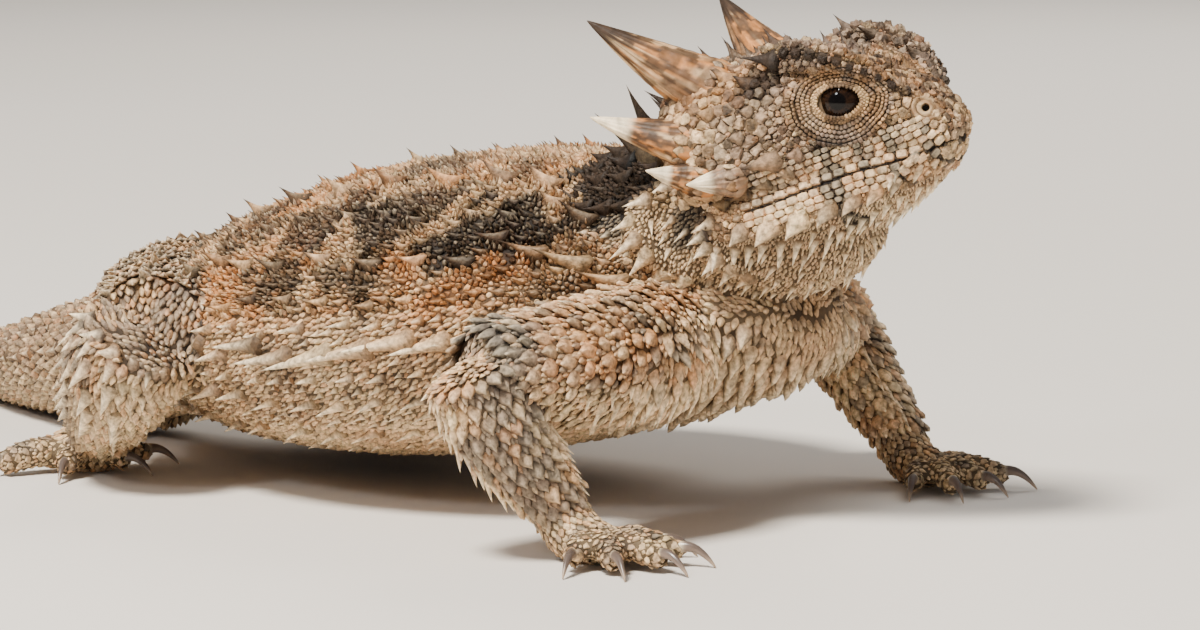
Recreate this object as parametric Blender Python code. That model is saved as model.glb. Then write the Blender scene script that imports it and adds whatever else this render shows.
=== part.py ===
"""Horned lizard, life size, standing with its chest raised and its head turned a little to its left.

Metres, +Z up, +X forwards along the trunk, +Y to the animal's left. The floor is z = 0, and the
origin is under the middle of the model. Sizes are written in millimetres and scaled by MM.
"""

import math
import random

import bmesh
import bpy
import numpy as np
from mathutils import Matrix, Vector

MM = 0.001
GAP = 0.3 * MM  # clearance between nodes that meet
SIDES = {"right": -1, "left": 1}
FLOOR_BOX = 400 * MM

# Driving sizes of the animal, in millimetres
HEAD_BASE = (16.3, -2.2, 30.85)  # middle of the back of the skull
HEAD_YAW, HEAD_PITCH, HEAD_ROLL = 9.0, 8.4, 3.0  # degrees: turned left, raised, tilted right
EYE_AT, EYE_RADIUS = (13.9, 4.8, 3.8), 2.4  # in the head's own frame, on its left side
LID_RINGS = ((1.75, 1.35, 0.45, 7.05), (3.0, 2.4, 0.4, 6.95))  # half length, half height, thickness, y
NOSTRIL_AT, NOSTRIL_RING, NOSTRIL_HOLE = (20.5, 2.9, 2.1), (0.75, 0.32), 0.45  # ring: radius, thickness

# Stations run along a limb or the trunk: x, y, z, half width, rise above and drop below the centre
TRUNK = (
    (-55.0, 0.8, 10.0, 8.0, 5.4, 6.6),
    (-48.0, 0.2, 11.2, 11.6, 6.6, 8.0),
    (-40.0, 0.0, 12.2, 16.2, 9.2, 9.4),
    (-30.0, 0.0, 13.0, 22.0, 12.5, 10.8),
    (-18.0, 0.0, 13.8, 25.6, 14.8, 11.4),
    (-6.0, 0.0, 15.0, 25.4, 15.2, 11.4),
    (4.0, 0.0, 16.4, 21.6, 13.6, 10.4),
    (12.0, 0.0, 17.2, 16.0, 9.8, 8.4),
    (18.0, 0.0, 17.2, 10.6, 5.4, 6.2),
    (22.0, 0.0, 17.4, 6.2, 2.6, 3.6),
)
NECK = (
    (3.0, -0.4, 22.0, 13.0, 8.2, 5.0),
    (9.0, -0.8, 23.4, 12.2, 8.6, 5.4),
    (15.0, -1.2, 24.6, 10.6, 8.6, 5.8),
    (20.0, -1.2, 24.8, 8.8, 7.0, 5.8),
    (25.0, -0.8, 24.6, 6.8, 4.6, 4.6),
    (28.6, -0.4, 25.2, 3.6, 2.2, 2.2),
)
TAIL = (
    (-56.0, 0.9, 9.4, 9.4, 5.8, 8.8),
    (-62.0, 1.8, 7.8, 8.0, 5.4, 7.6),
    (-70.0, 3.6, 6.2, 6.4, 4.8, 6.0),
    (-78.0, 5.8, 4.8, 5.0, 4.0, 4.8),
    (-86.0, 8.6, 3.5, 3.7, 3.1, 3.6),
    (-94.0, 12.0, 2.3, 2.4, 2.0, 2.4),
    (-101.0, 15.6, 1.3, 1.1, 1.0, 1.4),
)
# The head's own frame: x towards the snout, y to its left, z up from the middle of the skull's back
CRANIUM = (
    (-2.4, 0.0, 2.0, 7.8, 5.0, 6.0),
    (0.6, 0.0, 1.8, 10.0, 6.3, 6.0),
    (4.0, 0.0, 1.6, 10.5, 6.6, 5.4),
    (8.0, 0.0, 1.6, 9.3, 6.7, 4.8),
    (11.6, 0.0, 1.6, 7.8, 6.6, 4.3),
    (15.0, 0.0, 1.6, 6.5, 5.6, 3.5),
    (18.0, 0.0, 1.5, 5.0, 3.7, 2.5),
    (20.0, 0.0, 1.1, 3.9, 2.4, 1.9),
    (21.3, 0.0, 0.6, 2.9, 1.3, 1.4),
)
JAW = (
    (1.8, 0.0, -5.2, 9.4, 3.0, 3.8),
    (4.4, 0.0, -5.0, 9.9, 3.0, 4.2),
    (7.6, 0.0, -4.5, 9.2, 3.0, 4.3),
    (11.0, 0.0, -3.9, 8.0, 2.9, 4.0),
    (15.0, 0.0, -3.0, 6.4, 2.8, 3.1),
    (18.0, 0.0, -2.0, 4.9, 2.2, 2.2),
    (20.0, 0.0, -1.4, 3.4, 1.5, 1.3),
    (21.0, 0.0, -1.1, 2.2, 0.9, 0.8),
)
# Limbs, written for the right side, with y negative: x, y, z and radius
FORE_RIGHT = {
    "upper_arm": ((11.0, -4.0, 15.4, 5.0), (15.6, -13.0, 15.6, 5.7), (16.2, -22.0, 15.5, 5.2),
                  (14.2, -31.6, 15.0, 4.5)),
    "forearm": ((14.0, -33.0, 15.6, 4.2), (15.0, -31.6, 12.0, 4.2), (16.4, -29.2, 7.8, 3.4),
                (18.0, -27.0, 4.2, 2.5)),
    "hand": ((17.6, -27.0, 4.0, 2.4), (19.6, -26.8, 2.2, 2.5), (22.2, -26.8, 1.5, 2.1)),
}
FORE_LEFT = {
    "upper_arm": ((10.0, 4.0, 15.4, 5.0), (11.4, 12.0, 15.6, 5.2), (8.4, 19.6, 14.6, 4.6),
                  (4.8, 25.0, 13.4, 4.0)),
    "forearm": ((4.4, 25.6, 13.6, 3.8), (7.4, 25.6, 10.6, 3.8), (11.4, 24.8, 6.6, 3.0),
                (14.8, 23.8, 3.8, 2.3)),
    "hand": ((14.4, 23.8, 3.6, 2.2), (16.6, 23.0, 2.1, 2.4), (19.2, 22.2, 1.5, 2.0)),
}
HIND_RIGHT = {
    "thigh": ((-44.0, -6.0, 12.8, 7.4), (-40.0, -14.0, 13.4, 6.8), (-34.0, -20.6, 13.8, 6.0),
              (-30.4, -25.0, 14.0, 5.6)),
    "shin": ((-30.2, -26.4, 14.2, 5.4), (-32.6, -26.2, 11.2, 5.4), (-37.8, -23.0, 7.4, 4.4),
             (-42.2, -19.6, 4.2, 3.1)),
    "foot": ((-42.0, -19.0, 4.0, 2.9), (-44.4, -18.6, 2.3, 2.9), (-46.6, -20.2, 1.5, 2.5)),
}
# Where each digit ends on the floor, its claw past it: x, y, and the digit's radius
DIGITS = {
    "hand_right": ((24.6, -21.8, 1.15), (28.0, -23.7, 1.2), (28.8, -27.2, 1.25), (26.8, -30.6, 1.2),
                   (23.4, -31.8, 1.1)),
    "hand_left": ((21.4, 16.6, 1.1), (24.6, 18.0, 1.2), (25.2, 21.8, 1.25), (24.8, 25.6, 1.2),
                  (20.6, 27.2, 1.1)),
    "foot_right": ((-42.4, -13.8, 1.15), (-40.6, -18.4, 1.2), (-42.4, -24.2, 1.3), (-48.2, -26.4, 1.35),
                   (-51.8, -19.2, 1.15)),
}
CLAW_LENGTH, CLAW_RADIUS, CLAW_HOOK = 3.9, 0.72, 1.7
# Horns in the head's frame, written for the left side: root, lean, length, root radius, upward bend
HORNS = {
    "horn_occipital": ((2.0, 6.1, 6.2), (-7.8, 5.2, 6.5), 11.1, 2.75, 0.9),
    "horn_temporal_upper": ((0.8, 8.4, 2.0), (-7.8, 2.6, 3.0), 8.6, 2.1, 0.5),
    "horn_temporal_lower": ((2.0, 9.2, -1.0), (-3.6, 2.5, 1.2), 4.8, 1.6, 0.3),
    "horn_temporal_front": ((4.9, 9.2, -1.2), (-2.9, 2.3, 0.0), 4.0, 1.45, 0.2),
}
COLOURS = {
    "trunk_skin": (0.42, 0.27, 0.16),
    "head_skin": (0.47, 0.36, 0.26),
    "limb_skin": (0.40, 0.31, 0.21),
    "horn": (0.50, 0.33, 0.19),
    "claw": (0.20, 0.15, 0.12),
    "eye": (0.03, 0.02, 0.015),
}
GLOSS = {"eye": 0.1, "horn": 0.45, "claw": 0.45}
SKIN_ROUGHNESS = 0.8
SHARP_ANGLE = math.radians(38)

# Rows of spines on a loft. Each row: first and last station share, first and last angle from the left
# side over the back (-90 is the belly), number, length, half width, degrees that it stands off the skin
TRUNK_ROWS = (
    (0.14, 0.66, 75, 81, 11, 2.4, 0.95, 50),
    (0.16, 0.68, 58, 62, 11, 3.0, 1.1, 46),
    (0.18, 0.64, 44, 42, 9, 2.4, 1.0, 42),
    (0.16, 0.64, 32, 24, 9, 2.8, 1.05, 38),
    (0.12, 0.67, -2, -3, 16, 4.3, 1.15, 28),
    (0.15, 0.60, -13, -24, 13, 3.1, 1.0, 34),
    (0.26, 0.64, -36, -41, 10, 2.5, 0.9, 34),
    (0.68, 0.82, 34, 22, 5, 2.8, 1.0, 40),
    (0.74, 0.98, -28, -28, 5, 2.2, 1.1, 26),
    (0.72, 0.98, -52, -52, 5, 2.0, 1.1, 26),
    (0.72, 0.98, -76, -76, 5, 1.8, 1.0, 26),
)
NECK_ROWS = (
    (0.04, 0.40, 72, 66, 4, 3.4, 1.1, 52),
    (0.06, 0.46, 44, 40, 4, 2.4, 0.95, 46),
    (0.16, 0.50, 22, 4, 4, 2.8, 1.0, 46),
    (0.30, 0.96, -30, -30, 6, 2.0, 0.9, 30),
    (0.34, 0.98, -56, -56, 7, 1.9, 0.85, 32),
    (0.38, 0.98, -80, -80, 6, 1.8, 0.85, 32),
)
TAIL_ROWS = (
    (0.16, 0.90, 4, 4, 10, 2.6, 0.9, 32),
    (0.18, 0.84, 62, 62, 7, 1.7, 0.8, 34),
)
CHIN_ROWS = (
    (0.20, 0.88, 2, -8, 8, 2.6, 1.25, 22),
    (0.16, 0.84, -36, -38, 9, 2.0, 0.8, 30),
    (0.26, 0.80, -70, -70, 6, 1.5, 0.7, 34),
)
CHIN_DROOP = 42  # degrees that the shields and spines of jaw and throat turn from backwards to down
# Scutes round a limb: rings, number round it, length, half width, degrees off the skin
LIMB_SCUTES = {
    "upper_arm": (5, 5, 2.5, 1.15, 32),
    "forearm": (5, 5, 2.2, 1.1, 32),
    "thigh": (3, 6, 2.5, 1.1, 34),
    "shin": (4, 6, 2.3, 1.05, 34),
}
# Single spikes of the head, in its own frame on the left side: x, y, length, half width
CROWN_SPIKES = (
    (19.4, 2.0, 0.8, 0.6), (18.0, 3.6, 0.9, 0.6), (16.6, 0.8, 1.0, 0.7), (15.6, 4.6, 1.5, 0.8),
    (13.4, 2.2, 1.2, 0.8), (12.0, 5.4, 1.3, 0.8), (10.4, 0.9, 1.0, 0.75), (9.6, 3.8, 1.5, 0.8),
    (6.8, 5.2, 1.4, 0.8), (6.4, 2.0, 1.2, 0.8), (3.6, 3.9, 1.3, 0.8), (1.2, 1.6, 2.0, 0.9),
)
# Spikes at the side of the skull, behind and below the eye: x, z, length, half width
TEMPLE_SPIKES = (
    (5.0, 6.6, 2.0, 1.0), (2.6, 6.9, 1.6, 0.95), (7.3, 0.1, 2.4, 1.15), (9.8, 0.2, 1.2, 0.95),
    (5.2, 2.4, 1.2, 0.9), (11.2, -1.0, 1.0, 0.8),
)
BROW_LINE = ((18.5, 3.4, 3.9), (17.3, 4.5, 5.0), (15.6, 5.5, 6.6), (13.5, 6.2, 7.55), (11.6, 6.5, 8.1),
             (9.6, 6.5, 8.2))
BROW_RADII = (0.6, 0.8, 0.95, 1.05, 1.1, 1.15)
BROW_HORN = ((10.4, 6.8, 7.9), (-0.45, 0.55, 0.70), 2.4, 1.25)  # root, lean, length, half width
UPPER_LIP = (0.42, 0.98, -34, 0.42)  # first and last station share, angle, thickness
LOWER_LIP = (0.30, 0.97, 24, 0.40)
NECK_FOLD = ((0.44, 36), (0.36, 12), (0.40, -12), (0.50, -34))  # station share and angle down the fold
SEED = 11
CLEARANCE = 0.7  # millimetres a spine keeps from any other node's skin
SPINE_SINK = 0.55  # share of a spine's length that is sunk below the skin
SPINE_VARY = (0.18, 0.10)  # share by which length and half width vary
SPINE_SWING = 6.0  # degrees by which the lean varies
SPINE_SWAY = 0.12  # sideways lean, as a share
KNUCKLE_HEIGHT, TOE_TIP_HEIGHT, PALM_HEIGHT = 1.9, 1.15, 1.5
CLAW_SINK, CLAW_RISE = 0.8, 0.2


def clear_scene():
    for obj in list(bpy.data.objects):
        bpy.data.objects.remove(obj, do_unlink=True)


def head_matrix():
    """Carries the head's own frame, in millimetres, to the world, in millimetres."""
    turn = Matrix.Rotation(math.radians(HEAD_YAW), 4, "Z")
    turn @= Matrix.Rotation(math.radians(-HEAD_PITCH), 4, "Y")
    turn @= Matrix.Rotation(math.radians(HEAD_ROLL), 4, "X")
    return Matrix.Translation(HEAD_BASE) @ turn


HEAD = head_matrix()
BODY = Matrix.Identity(4)


def catmull(a, b, c, d, t):
    """The value between b and c of a smooth curve through four even stations."""
    return 0.5 * (2 * b + (c - a) * t + (2 * a - 5 * b + 4 * c - d) * t * t + (3 * b - a - 3 * c + d) * t**3)


class Loft:
    """A closed skin round a line of stations, each an oval of half width, rise and drop."""

    def __init__(self, stations, frame=BODY, power=(2.0, 2.0), up=(0.0, 0.0, 1.0), upright=False):
        self.rows = [list(row) if len(row) == 6 else [*row, row[3], row[3]] for row in stations]
        self.frame, self.power, self.up, self.upright = frame, power, Vector(up), upright
        self.table = None

    def row(self, s):
        """The station at share s of the way, from 0 to 1."""
        last = len(self.rows) - 1
        place = min(max(s, 0.0), 1.0) * last
        i = min(int(place), last - 1)
        picks = [self.rows[min(max(k, 0), last)] for k in (i - 1, i, i + 1, i + 2)]
        return [catmull(*four, place - i) for four in zip(*picks)]

    def axes(self, s):
        """Centre, direction along, side and up at share s, in the loft's own frame."""
        here, step = self.row(s), 0.02
        ahead, behind = self.row(min(s + step, 1.0)), self.row(max(s - step, 0.0))
        along = (Vector(ahead[:3]) - Vector(behind[:3])).normalized()
        if self.upright:
            along = Vector((math.copysign(1.0, along.x), 0.0, 0.0))
        side = self.up.cross(along).normalized()
        return Vector(here[:3]), along, side, along.cross(side)

    def point(self, s, angle, grow=0.0):
        """Surface point in world millimetres, angle in degrees from the left side towards the top."""
        here = self.row(s)
        centre, _, side, up = self.axes(s)
        c, d = math.cos(math.radians(angle)), math.sin(math.radians(angle))
        reach = 2.0 / self.power[0 if d > 0 else 1]
        out = (here[3] + grow) * math.copysign(abs(c) ** reach, c)
        height = ((here[4] if d > 0 else here[5]) + grow) * math.copysign(abs(d) ** reach, d)
        return self.frame @ (centre + side * out + up * height)

    def seek(self, place):
        """Station share and angle of the surface point that lies outwards of a place in the loft's frame."""
        place = Vector(place)
        shares = [k / 60 for k in range(61)]
        s = min(shares, key=lambda share: abs((place - self.axes(share)[0]).dot(self.axes(share)[1])))
        here = self.row(s)
        centre, _, side, up = self.axes(s)
        out, height = (place - centre).dot(side), (place - centre).dot(up)
        reach = self.power[0 if height > 0 else 1] / 2.0
        c = math.copysign(abs(out / here[3]) ** reach, out)
        d = math.copysign(abs(height / here[4 if height > 0 else 5]) ** reach, height)
        return s, math.degrees(math.atan2(d, c))

    def normal(self, s, angle):
        """Outward direction at a surface point, in the world."""
        across = self.point(s, angle + 4) - self.point(s, angle - 4)
        along = self.point(min(s + 0.02, 1.0), angle) - self.point(max(s - 0.02, 0.0), angle)
        centre = self.frame @ Vector(self.row(s)[:3])
        found = across.cross(along).normalized()
        return found if found.dot(self.point(s, angle) - centre) > 0 else -found

    def lie(self, s, angle):
        """Direction along the surface towards higher s, in the world."""
        return (self.point(min(s + 0.02, 1.0), angle) - self.point(max(s - 0.02, 0.0), angle)).normalized()

    def holds(self, places, margin):
        """Whether any of these world places lies inside the loft grown by a margin."""
        if self.table is None:
            samples = [(self.axes(k / 40), self.row(k / 40)) for k in range(41)]
            self.table = [np.array([axes[n] for axes, _ in samples]) for n in range(4)]
            self.table += [np.array([row[n] for _, row in samples]) for n in (3, 4, 5)]
        centre, along, side, up, wide, rise, drop = self.table
        local = np.array([self.frame.inverted() @ place for place in places])
        step = local[:, None] - centre[None]
        height = (step * up).sum(2)
        power = np.where(height > 0, *self.power)
        across = np.abs((step * side).sum(2)) / (wide + margin)
        high = np.abs(height) / (np.where(height > 0, rise, drop) + margin)
        near = np.abs((step * along).sum(2)) < 1.6 + margin
        return bool((near & (across**power + high**power < 1.0)).any())

    def mesh(self, name, rings, sides, grow=0.0, cap=0.3):
        """A closed mesh of the loft, in metres, grown outwards by grow millimetres."""
        bm = bmesh.new()
        loops = []
        for k in range(rings):
            s = k / (rings - 1)
            loops.append([bm.verts.new(self.point(s, 360.0 * n / sides, grow) * MM) for n in range(sides)])
        for one, two in zip(loops, loops[1:]):
            for n in range(sides):
                bm.faces.new((one[n], one[(n + 1) % sides], two[(n + 1) % sides], two[n]))
        for s, loop, way in ((0.0, loops[0], -1.0), (1.0, loops[-1], 1.0)):
            centre, along, _, up = self.axes(s)
            row = self.row(s)
            reach = cap * min(row[3], row[4] + row[5]) + grow
            tip = self.frame @ (centre + along * way * reach + up * (row[4] - row[5]) * 0.4)
            pole = bm.verts.new(tip * MM)
            for n in range(sides):
                bm.faces.new((loop[n], loop[(n + 1) % sides], pole))
        return sealed(bm, name)


def sealed(bm, name):
    """Turns a finished bmesh into a mesh whose faces point out."""
    bmesh.ops.recalc_face_normals(bm, faces=bm.faces[:])
    made = bpy.data.meshes.new(name)
    bm.to_mesh(made)
    bm.free()
    return made


def new_object(name, mesh, collection):
    obj = bpy.data.objects.new(name, mesh)
    collection.objects.link(obj)
    return obj


def new_collection(name):
    made = bpy.data.collections.new(name)
    bpy.context.scene.collection.children.link(made)
    return made


def material(slot):
    """The plain finish of one slot, made once."""
    found = bpy.data.materials.get(slot)
    if found:
        return found
    found = bpy.data.materials.new(slot)
    found.use_nodes = True
    shader = found.node_tree.nodes["Principled BSDF"]
    shader.inputs["Base Color"].default_value = (*COLOURS[slot], 1.0)
    shader.inputs["Roughness"].default_value = GLOSS.get(slot, SKIN_ROUGHNESS)
    return found


def tube(name, places, radii, sides=6, rings=None):
    """A closed tube through world places in millimetres, tapering with its radii."""
    line = Loft([(*place, radius) for place, radius in zip(places, radii)])
    return line.mesh(name, rings or 2 * len(places), sides, cap=0.6)


def ring_mesh(name, centre, out, up, half_long, half_high, thick, segments=11, sides=4):
    """An oval ring round a centre, in the plane across out, sizes in millimetres."""
    out = out.normalized()
    along = up.cross(out).normalized()
    up = out.cross(along)
    bm = bmesh.new()
    loops = []
    for k in range(segments):
        a = 2 * math.pi * k / segments
        middle = centre + along * math.cos(a) * half_long + up * math.sin(a) * half_high
        away = (middle - centre).normalized()
        loop = []
        for n in range(sides):
            b = 2 * math.pi * n / sides
            loop.append(bm.verts.new((middle + (away * math.cos(b) + out * math.sin(b)) * thick) * MM))
        loops.append(loop)
    for k, one in enumerate(loops):
        two = loops[(k + 1) % segments]
        for n in range(sides):
            bm.faces.new((one[n], one[(n + 1) % sides], two[(n + 1) % sides], two[n]))
    return sealed(bm, name)


def spine_mesh(root, lean, length, half, thick, across):
    """A four-sided spine, its root sunk into the skin, from sizes in millimetres."""
    lean = lean.normalized()
    side = across.cross(lean).normalized()
    over = lean.cross(side)
    base = root - lean * length * SPINE_SINK
    bm = bmesh.new()
    spread = (side * half, over * thick, -side * half, -over * thick)
    ring = [bm.verts.new((base + way * (1 + SPINE_SINK)) * MM) for way in spread]
    tip = bm.verts.new((root + lean * length) * MM)
    bm.faces.new(ring)
    for n in range(4):
        bm.faces.new((ring[n], ring[(n + 1) % 4], tip))
    return sealed(bm, "spine")


def bent_cone(name, root, lean, length, radius, bend, towards, sides, rings, sink=0.0, tip_radius=0.12):
    """A horn or claw: a tapering round cone that curves by bend millimetres towards a side."""
    lean = lean.normalized()
    side = lean.cross(towards).normalized()
    over = side.cross(lean)
    bm = bmesh.new()
    loops = []
    for k in range(rings):
        t = k / (rings - 1)
        centre = root + lean * (length * t - sink * (1 - t) ** 6) + towards * bend * t * t
        r = radius * (1 - t) ** 0.85 + tip_radius
        loop = []
        for n in range(sides):
            a = 2 * math.pi * n / sides
            loop.append(bm.verts.new((centre + (side * math.cos(a) + over * math.sin(a)) * r) * MM))
        loops.append(loop)
    for one, two in zip(loops, loops[1:]):
        for n in range(sides):
            bm.faces.new((one[n], one[(n + 1) % sides], two[(n + 1) % sides], two[n]))
    bm.faces.new(loops[0])
    bm.faces.new(loops[-1])
    return sealed(bm, name)


def ball(name, centre, radius, segments, rings, frame=BODY):
    bm = bmesh.new()
    bmesh.ops.create_uvsphere(bm, u_segments=segments, v_segments=rings, radius=radius * MM)
    whole = frame.copy()
    whole.translation = frame.translation * MM
    bm.transform(whole @ Matrix.Translation(Vector(centre) * MM))
    return sealed(bm, name)


def below_floor():
    """All that lies below the floor, so that soles, claws and tail end in flats at one level."""
    bm = bmesh.new()
    bmesh.ops.create_cube(bm, size=FLOOR_BOX)
    bmesh.ops.translate(bm, verts=bm.verts[:], vec=(0.0, 0.0, -FLOOR_BOX / 2))
    return sealed(bm, "below_floor")


def largest_surface(mesh):
    """Keeps only the largest closed surface of a mesh, in triangles."""
    bm = bmesh.new()
    bm.from_mesh(mesh)
    seen, groups = set(), []
    for vert in bm.verts:
        if vert.index in seen:
            continue
        group, queue = [], [vert]
        seen.add(vert.index)
        while queue:
            one = queue.pop()
            group.append(one)
            for edge in one.link_edges:
                other = edge.other_vert(one)
                if other.index not in seen:
                    seen.add(other.index)
                    queue.append(other)
        groups.append(group)
    kept = {vert.index for vert in max(groups, key=len)}
    bmesh.ops.delete(bm, geom=[v for v in bm.verts if v.index not in kept], context="VERTS")
    bmesh.ops.triangulate(bm, faces=bm.faces[:])
    bm.to_mesh(mesh)
    bm.free()


def boolean(obj, operation, meshes):
    """Adds one Boolean of a collection of closed meshes, and returns that collection."""
    if not meshes:
        return None
    taken = new_collection(f"{obj.name}_{operation}")
    for mesh in meshes:
        new_object(mesh.name, mesh, taken)
    step = obj.modifiers.new(operation, "BOOLEAN")
    step.operation, step.solver = operation, "MANIFOLD"
    step.operand_type, step.collection = "COLLECTION", taken
    return taken


def finish_node(name, base, pieces, cutters, slot, into):
    """One node: base joined with its pieces, cut clear of its neighbours, as one closed surface."""
    obj = new_object(name, base, into)
    spent = [boolean(obj, "UNION", pieces), boolean(obj, "DIFFERENCE", cutters)]
    bpy.context.view_layer.update()
    graph = bpy.context.evaluated_depsgraph_get()
    done = bpy.data.meshes.new_from_object(obj.evaluated_get(graph))
    obj.modifiers.clear()
    obj.data = done
    for taken in filter(None, spent):
        for piece in list(taken.objects):
            bpy.data.objects.remove(piece, do_unlink=True)
        bpy.data.collections.remove(taken)
    largest_surface(done)
    done.name = name
    done.materials.clear()
    done.materials.append(material(slot))
    done.shade_smooth()
    done.set_sharp_from_angle(angle=SHARP_ANGLE)
    return obj


def mirrored(point, sign):
    return Vector((point[0], point[1] * sign, point[2]))


class Spines:
    """Sets spines on lofts, and keeps each clear of every other node's skin and spines."""

    def __init__(self, lofts):
        self.lofts, self.random = lofts, random.Random(SEED)
        self.placed = {}

    def fits(self, node, root, tip):
        trail = [root.lerp(tip, k / 4) for k in range(5)]
        if min(place.z for place in trail) < CLEARANCE:
            return False
        for other, loft in self.lofts.items():
            if other != node and loft.holds(trail, CLEARANCE):
                return False
        mine = np.array(trail)
        for other, places in self.placed.items():
            if other == node or not places:
                continue
            apart = np.linalg.norm(np.array(places)[:, None] - mine[None], axis=2)
            if apart.min() < 2.2 * CLEARANCE:
                return False
        self.placed.setdefault(node, []).extend(trail)
        return True

    def one(self, node, s, angle, length, half, stand, back=-1.0, droop=0.0, thick=0.6):
        """One spine as a list of meshes, empty where it would come near another node."""
        loft = self.lofts[node]
        vary = self.random.uniform
        s = min(max(s, 0.0), 1.0)
        length *= 1 + vary(-SPINE_VARY[0], SPINE_VARY[0])
        half *= 1 + vary(-SPINE_VARY[1], SPINE_VARY[1])
        normal, lie = loft.normal(s, angle), loft.lie(s, angle) * back
        down = normal.cross(lie)
        down *= math.copysign(math.radians(droop), -down.z)
        lie = (lie * math.cos(math.radians(droop)) + down).normalized()
        swing = math.radians(stand + vary(-SPINE_SWING, SPINE_SWING))
        lean = lie * math.cos(swing) + normal * math.sin(swing)
        lean += normal.cross(lie) * vary(-SPINE_SWAY, SPINE_SWAY)
        root = loft.point(s, angle)
        if not self.fits(node, root, root + lean.normalized() * length):
            return []
        return [spine_mesh(root, lean, length, half, half * thick, normal)]

    def rows(self, node, rows, droop=0.0):
        """Every spine of a table of rows, on both sides of the loft."""
        made = []
        for first, last, start, end, count, length, half, stand in rows:
            for sign in SIDES.values():
                for k in range(count):
                    t = (k + 0.25 * (1 + sign)) / max(count - 0.5, 1)
                    s = first + (last - first) * t + self.random.uniform(-0.006, 0.006)
                    angle = start + (end - start) * t + self.random.uniform(-2, 2)
                    angle = angle if sign > 0 else 180 - angle
                    fade = 0.7 + 0.3 * math.sin(math.pi * min(t, 1.0))
                    made += self.one(node, s, angle, length * fade, half, stand, droop=droop)
        return made

    def scutes(self, node, rings, around, length, half, stand):
        """Pointed scales in staggered rings down a limb, leaning towards its foot."""
        made = []
        for ring in range(rings):
            s = 0.16 + 0.72 * ring / (rings - 1)
            for k in range(around):
                angle = 360.0 * (k + 0.5 * (ring % 2)) / around
                made += self.one(node, s, angle, length, half, stand, back=1.0, thick=0.5)
        return made


def head_pieces(spines, cranium):
    """Brow ridges and horns, lids, nostril rings, crown and temple spikes of the skull."""
    made = []
    turn = HEAD.to_3x3()
    for sign in SIDES.values():
        line = [HEAD @ mirrored(place, sign) for place in BROW_LINE]
        made.append(tube("brow", line, BROW_RADII, rings=9))
        root, lean, length, half = BROW_HORN
        made.append(spine_mesh(HEAD @ mirrored(root, sign), turn @ mirrored(lean, sign), length, half, half,
                               turn @ Vector((0, 0, 1))))
        for half_long, half_high, thick, y in LID_RINGS:
            centre = HEAD @ mirrored((EYE_AT[0], y, EYE_AT[2]), sign)
            out = turn @ mirrored((0.16, 1.0, 0.12), sign)
            made.append(ring_mesh("lid", centre, out, turn @ Vector((0, 0, 1)), half_long, half_high, thick))
        s, angle = cranium.seek(mirrored(NOSTRIL_AT, sign))
        wide, thick = NOSTRIL_RING
        made.append(ring_mesh("nostril", cranium.point(s, angle), cranium.normal(s, angle),
                              turn @ Vector((0, 0, 1)), wide, wide, thick, segments=9))
        for x, y, length, half in CROWN_SPIKES:
            s, angle = cranium.seek(mirrored((x, y, 12.0), sign))
            angle = math.copysign(angle, 1.0)
            made += spines.one("head", s, angle, length, half, 66, thick=0.9)
        for x, z, length, half in TEMPLE_SPIKES:
            s, angle = cranium.seek(mirrored((x, 12.0, z), sign))
            made += spines.one("head", s, angle, length, half, 48, thick=0.9)
    return made


def lip_pieces(loft, lip, grow=0.0):
    """The rounded edge of the mouth along both sides of the skull or the jaw."""
    first, last, angle, thick = lip
    made = []
    for around in (angle, 180 - angle):
        line = [loft.point(first + (last - first) * k / 6, around) for k in range(7)]
        made.append(tube("lip", line, [thick + grow] * len(line), sides=4, rings=7))
    return made


def nostril_holes(cranium):
    made = []
    for sign in SIDES.values():
        s, angle = cranium.seek(mirrored(NOSTRIL_AT, sign))
        made.append(ball("nostril_hole", cranium.point(s, angle, 0.1), NOSTRIL_HOLE, 8, 6))
    return made


def fold_pieces(neck):
    """The loose fold of skin down each side of the neck."""
    made = []
    for sign in SIDES.values():
        line = [neck.point(s, angle if sign > 0 else 180 - angle) for s, angle in NECK_FOLD]
        made.append(tube("fold", line, (0.6, 1.3, 1.4, 0.8), rings=7))
    return made


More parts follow.
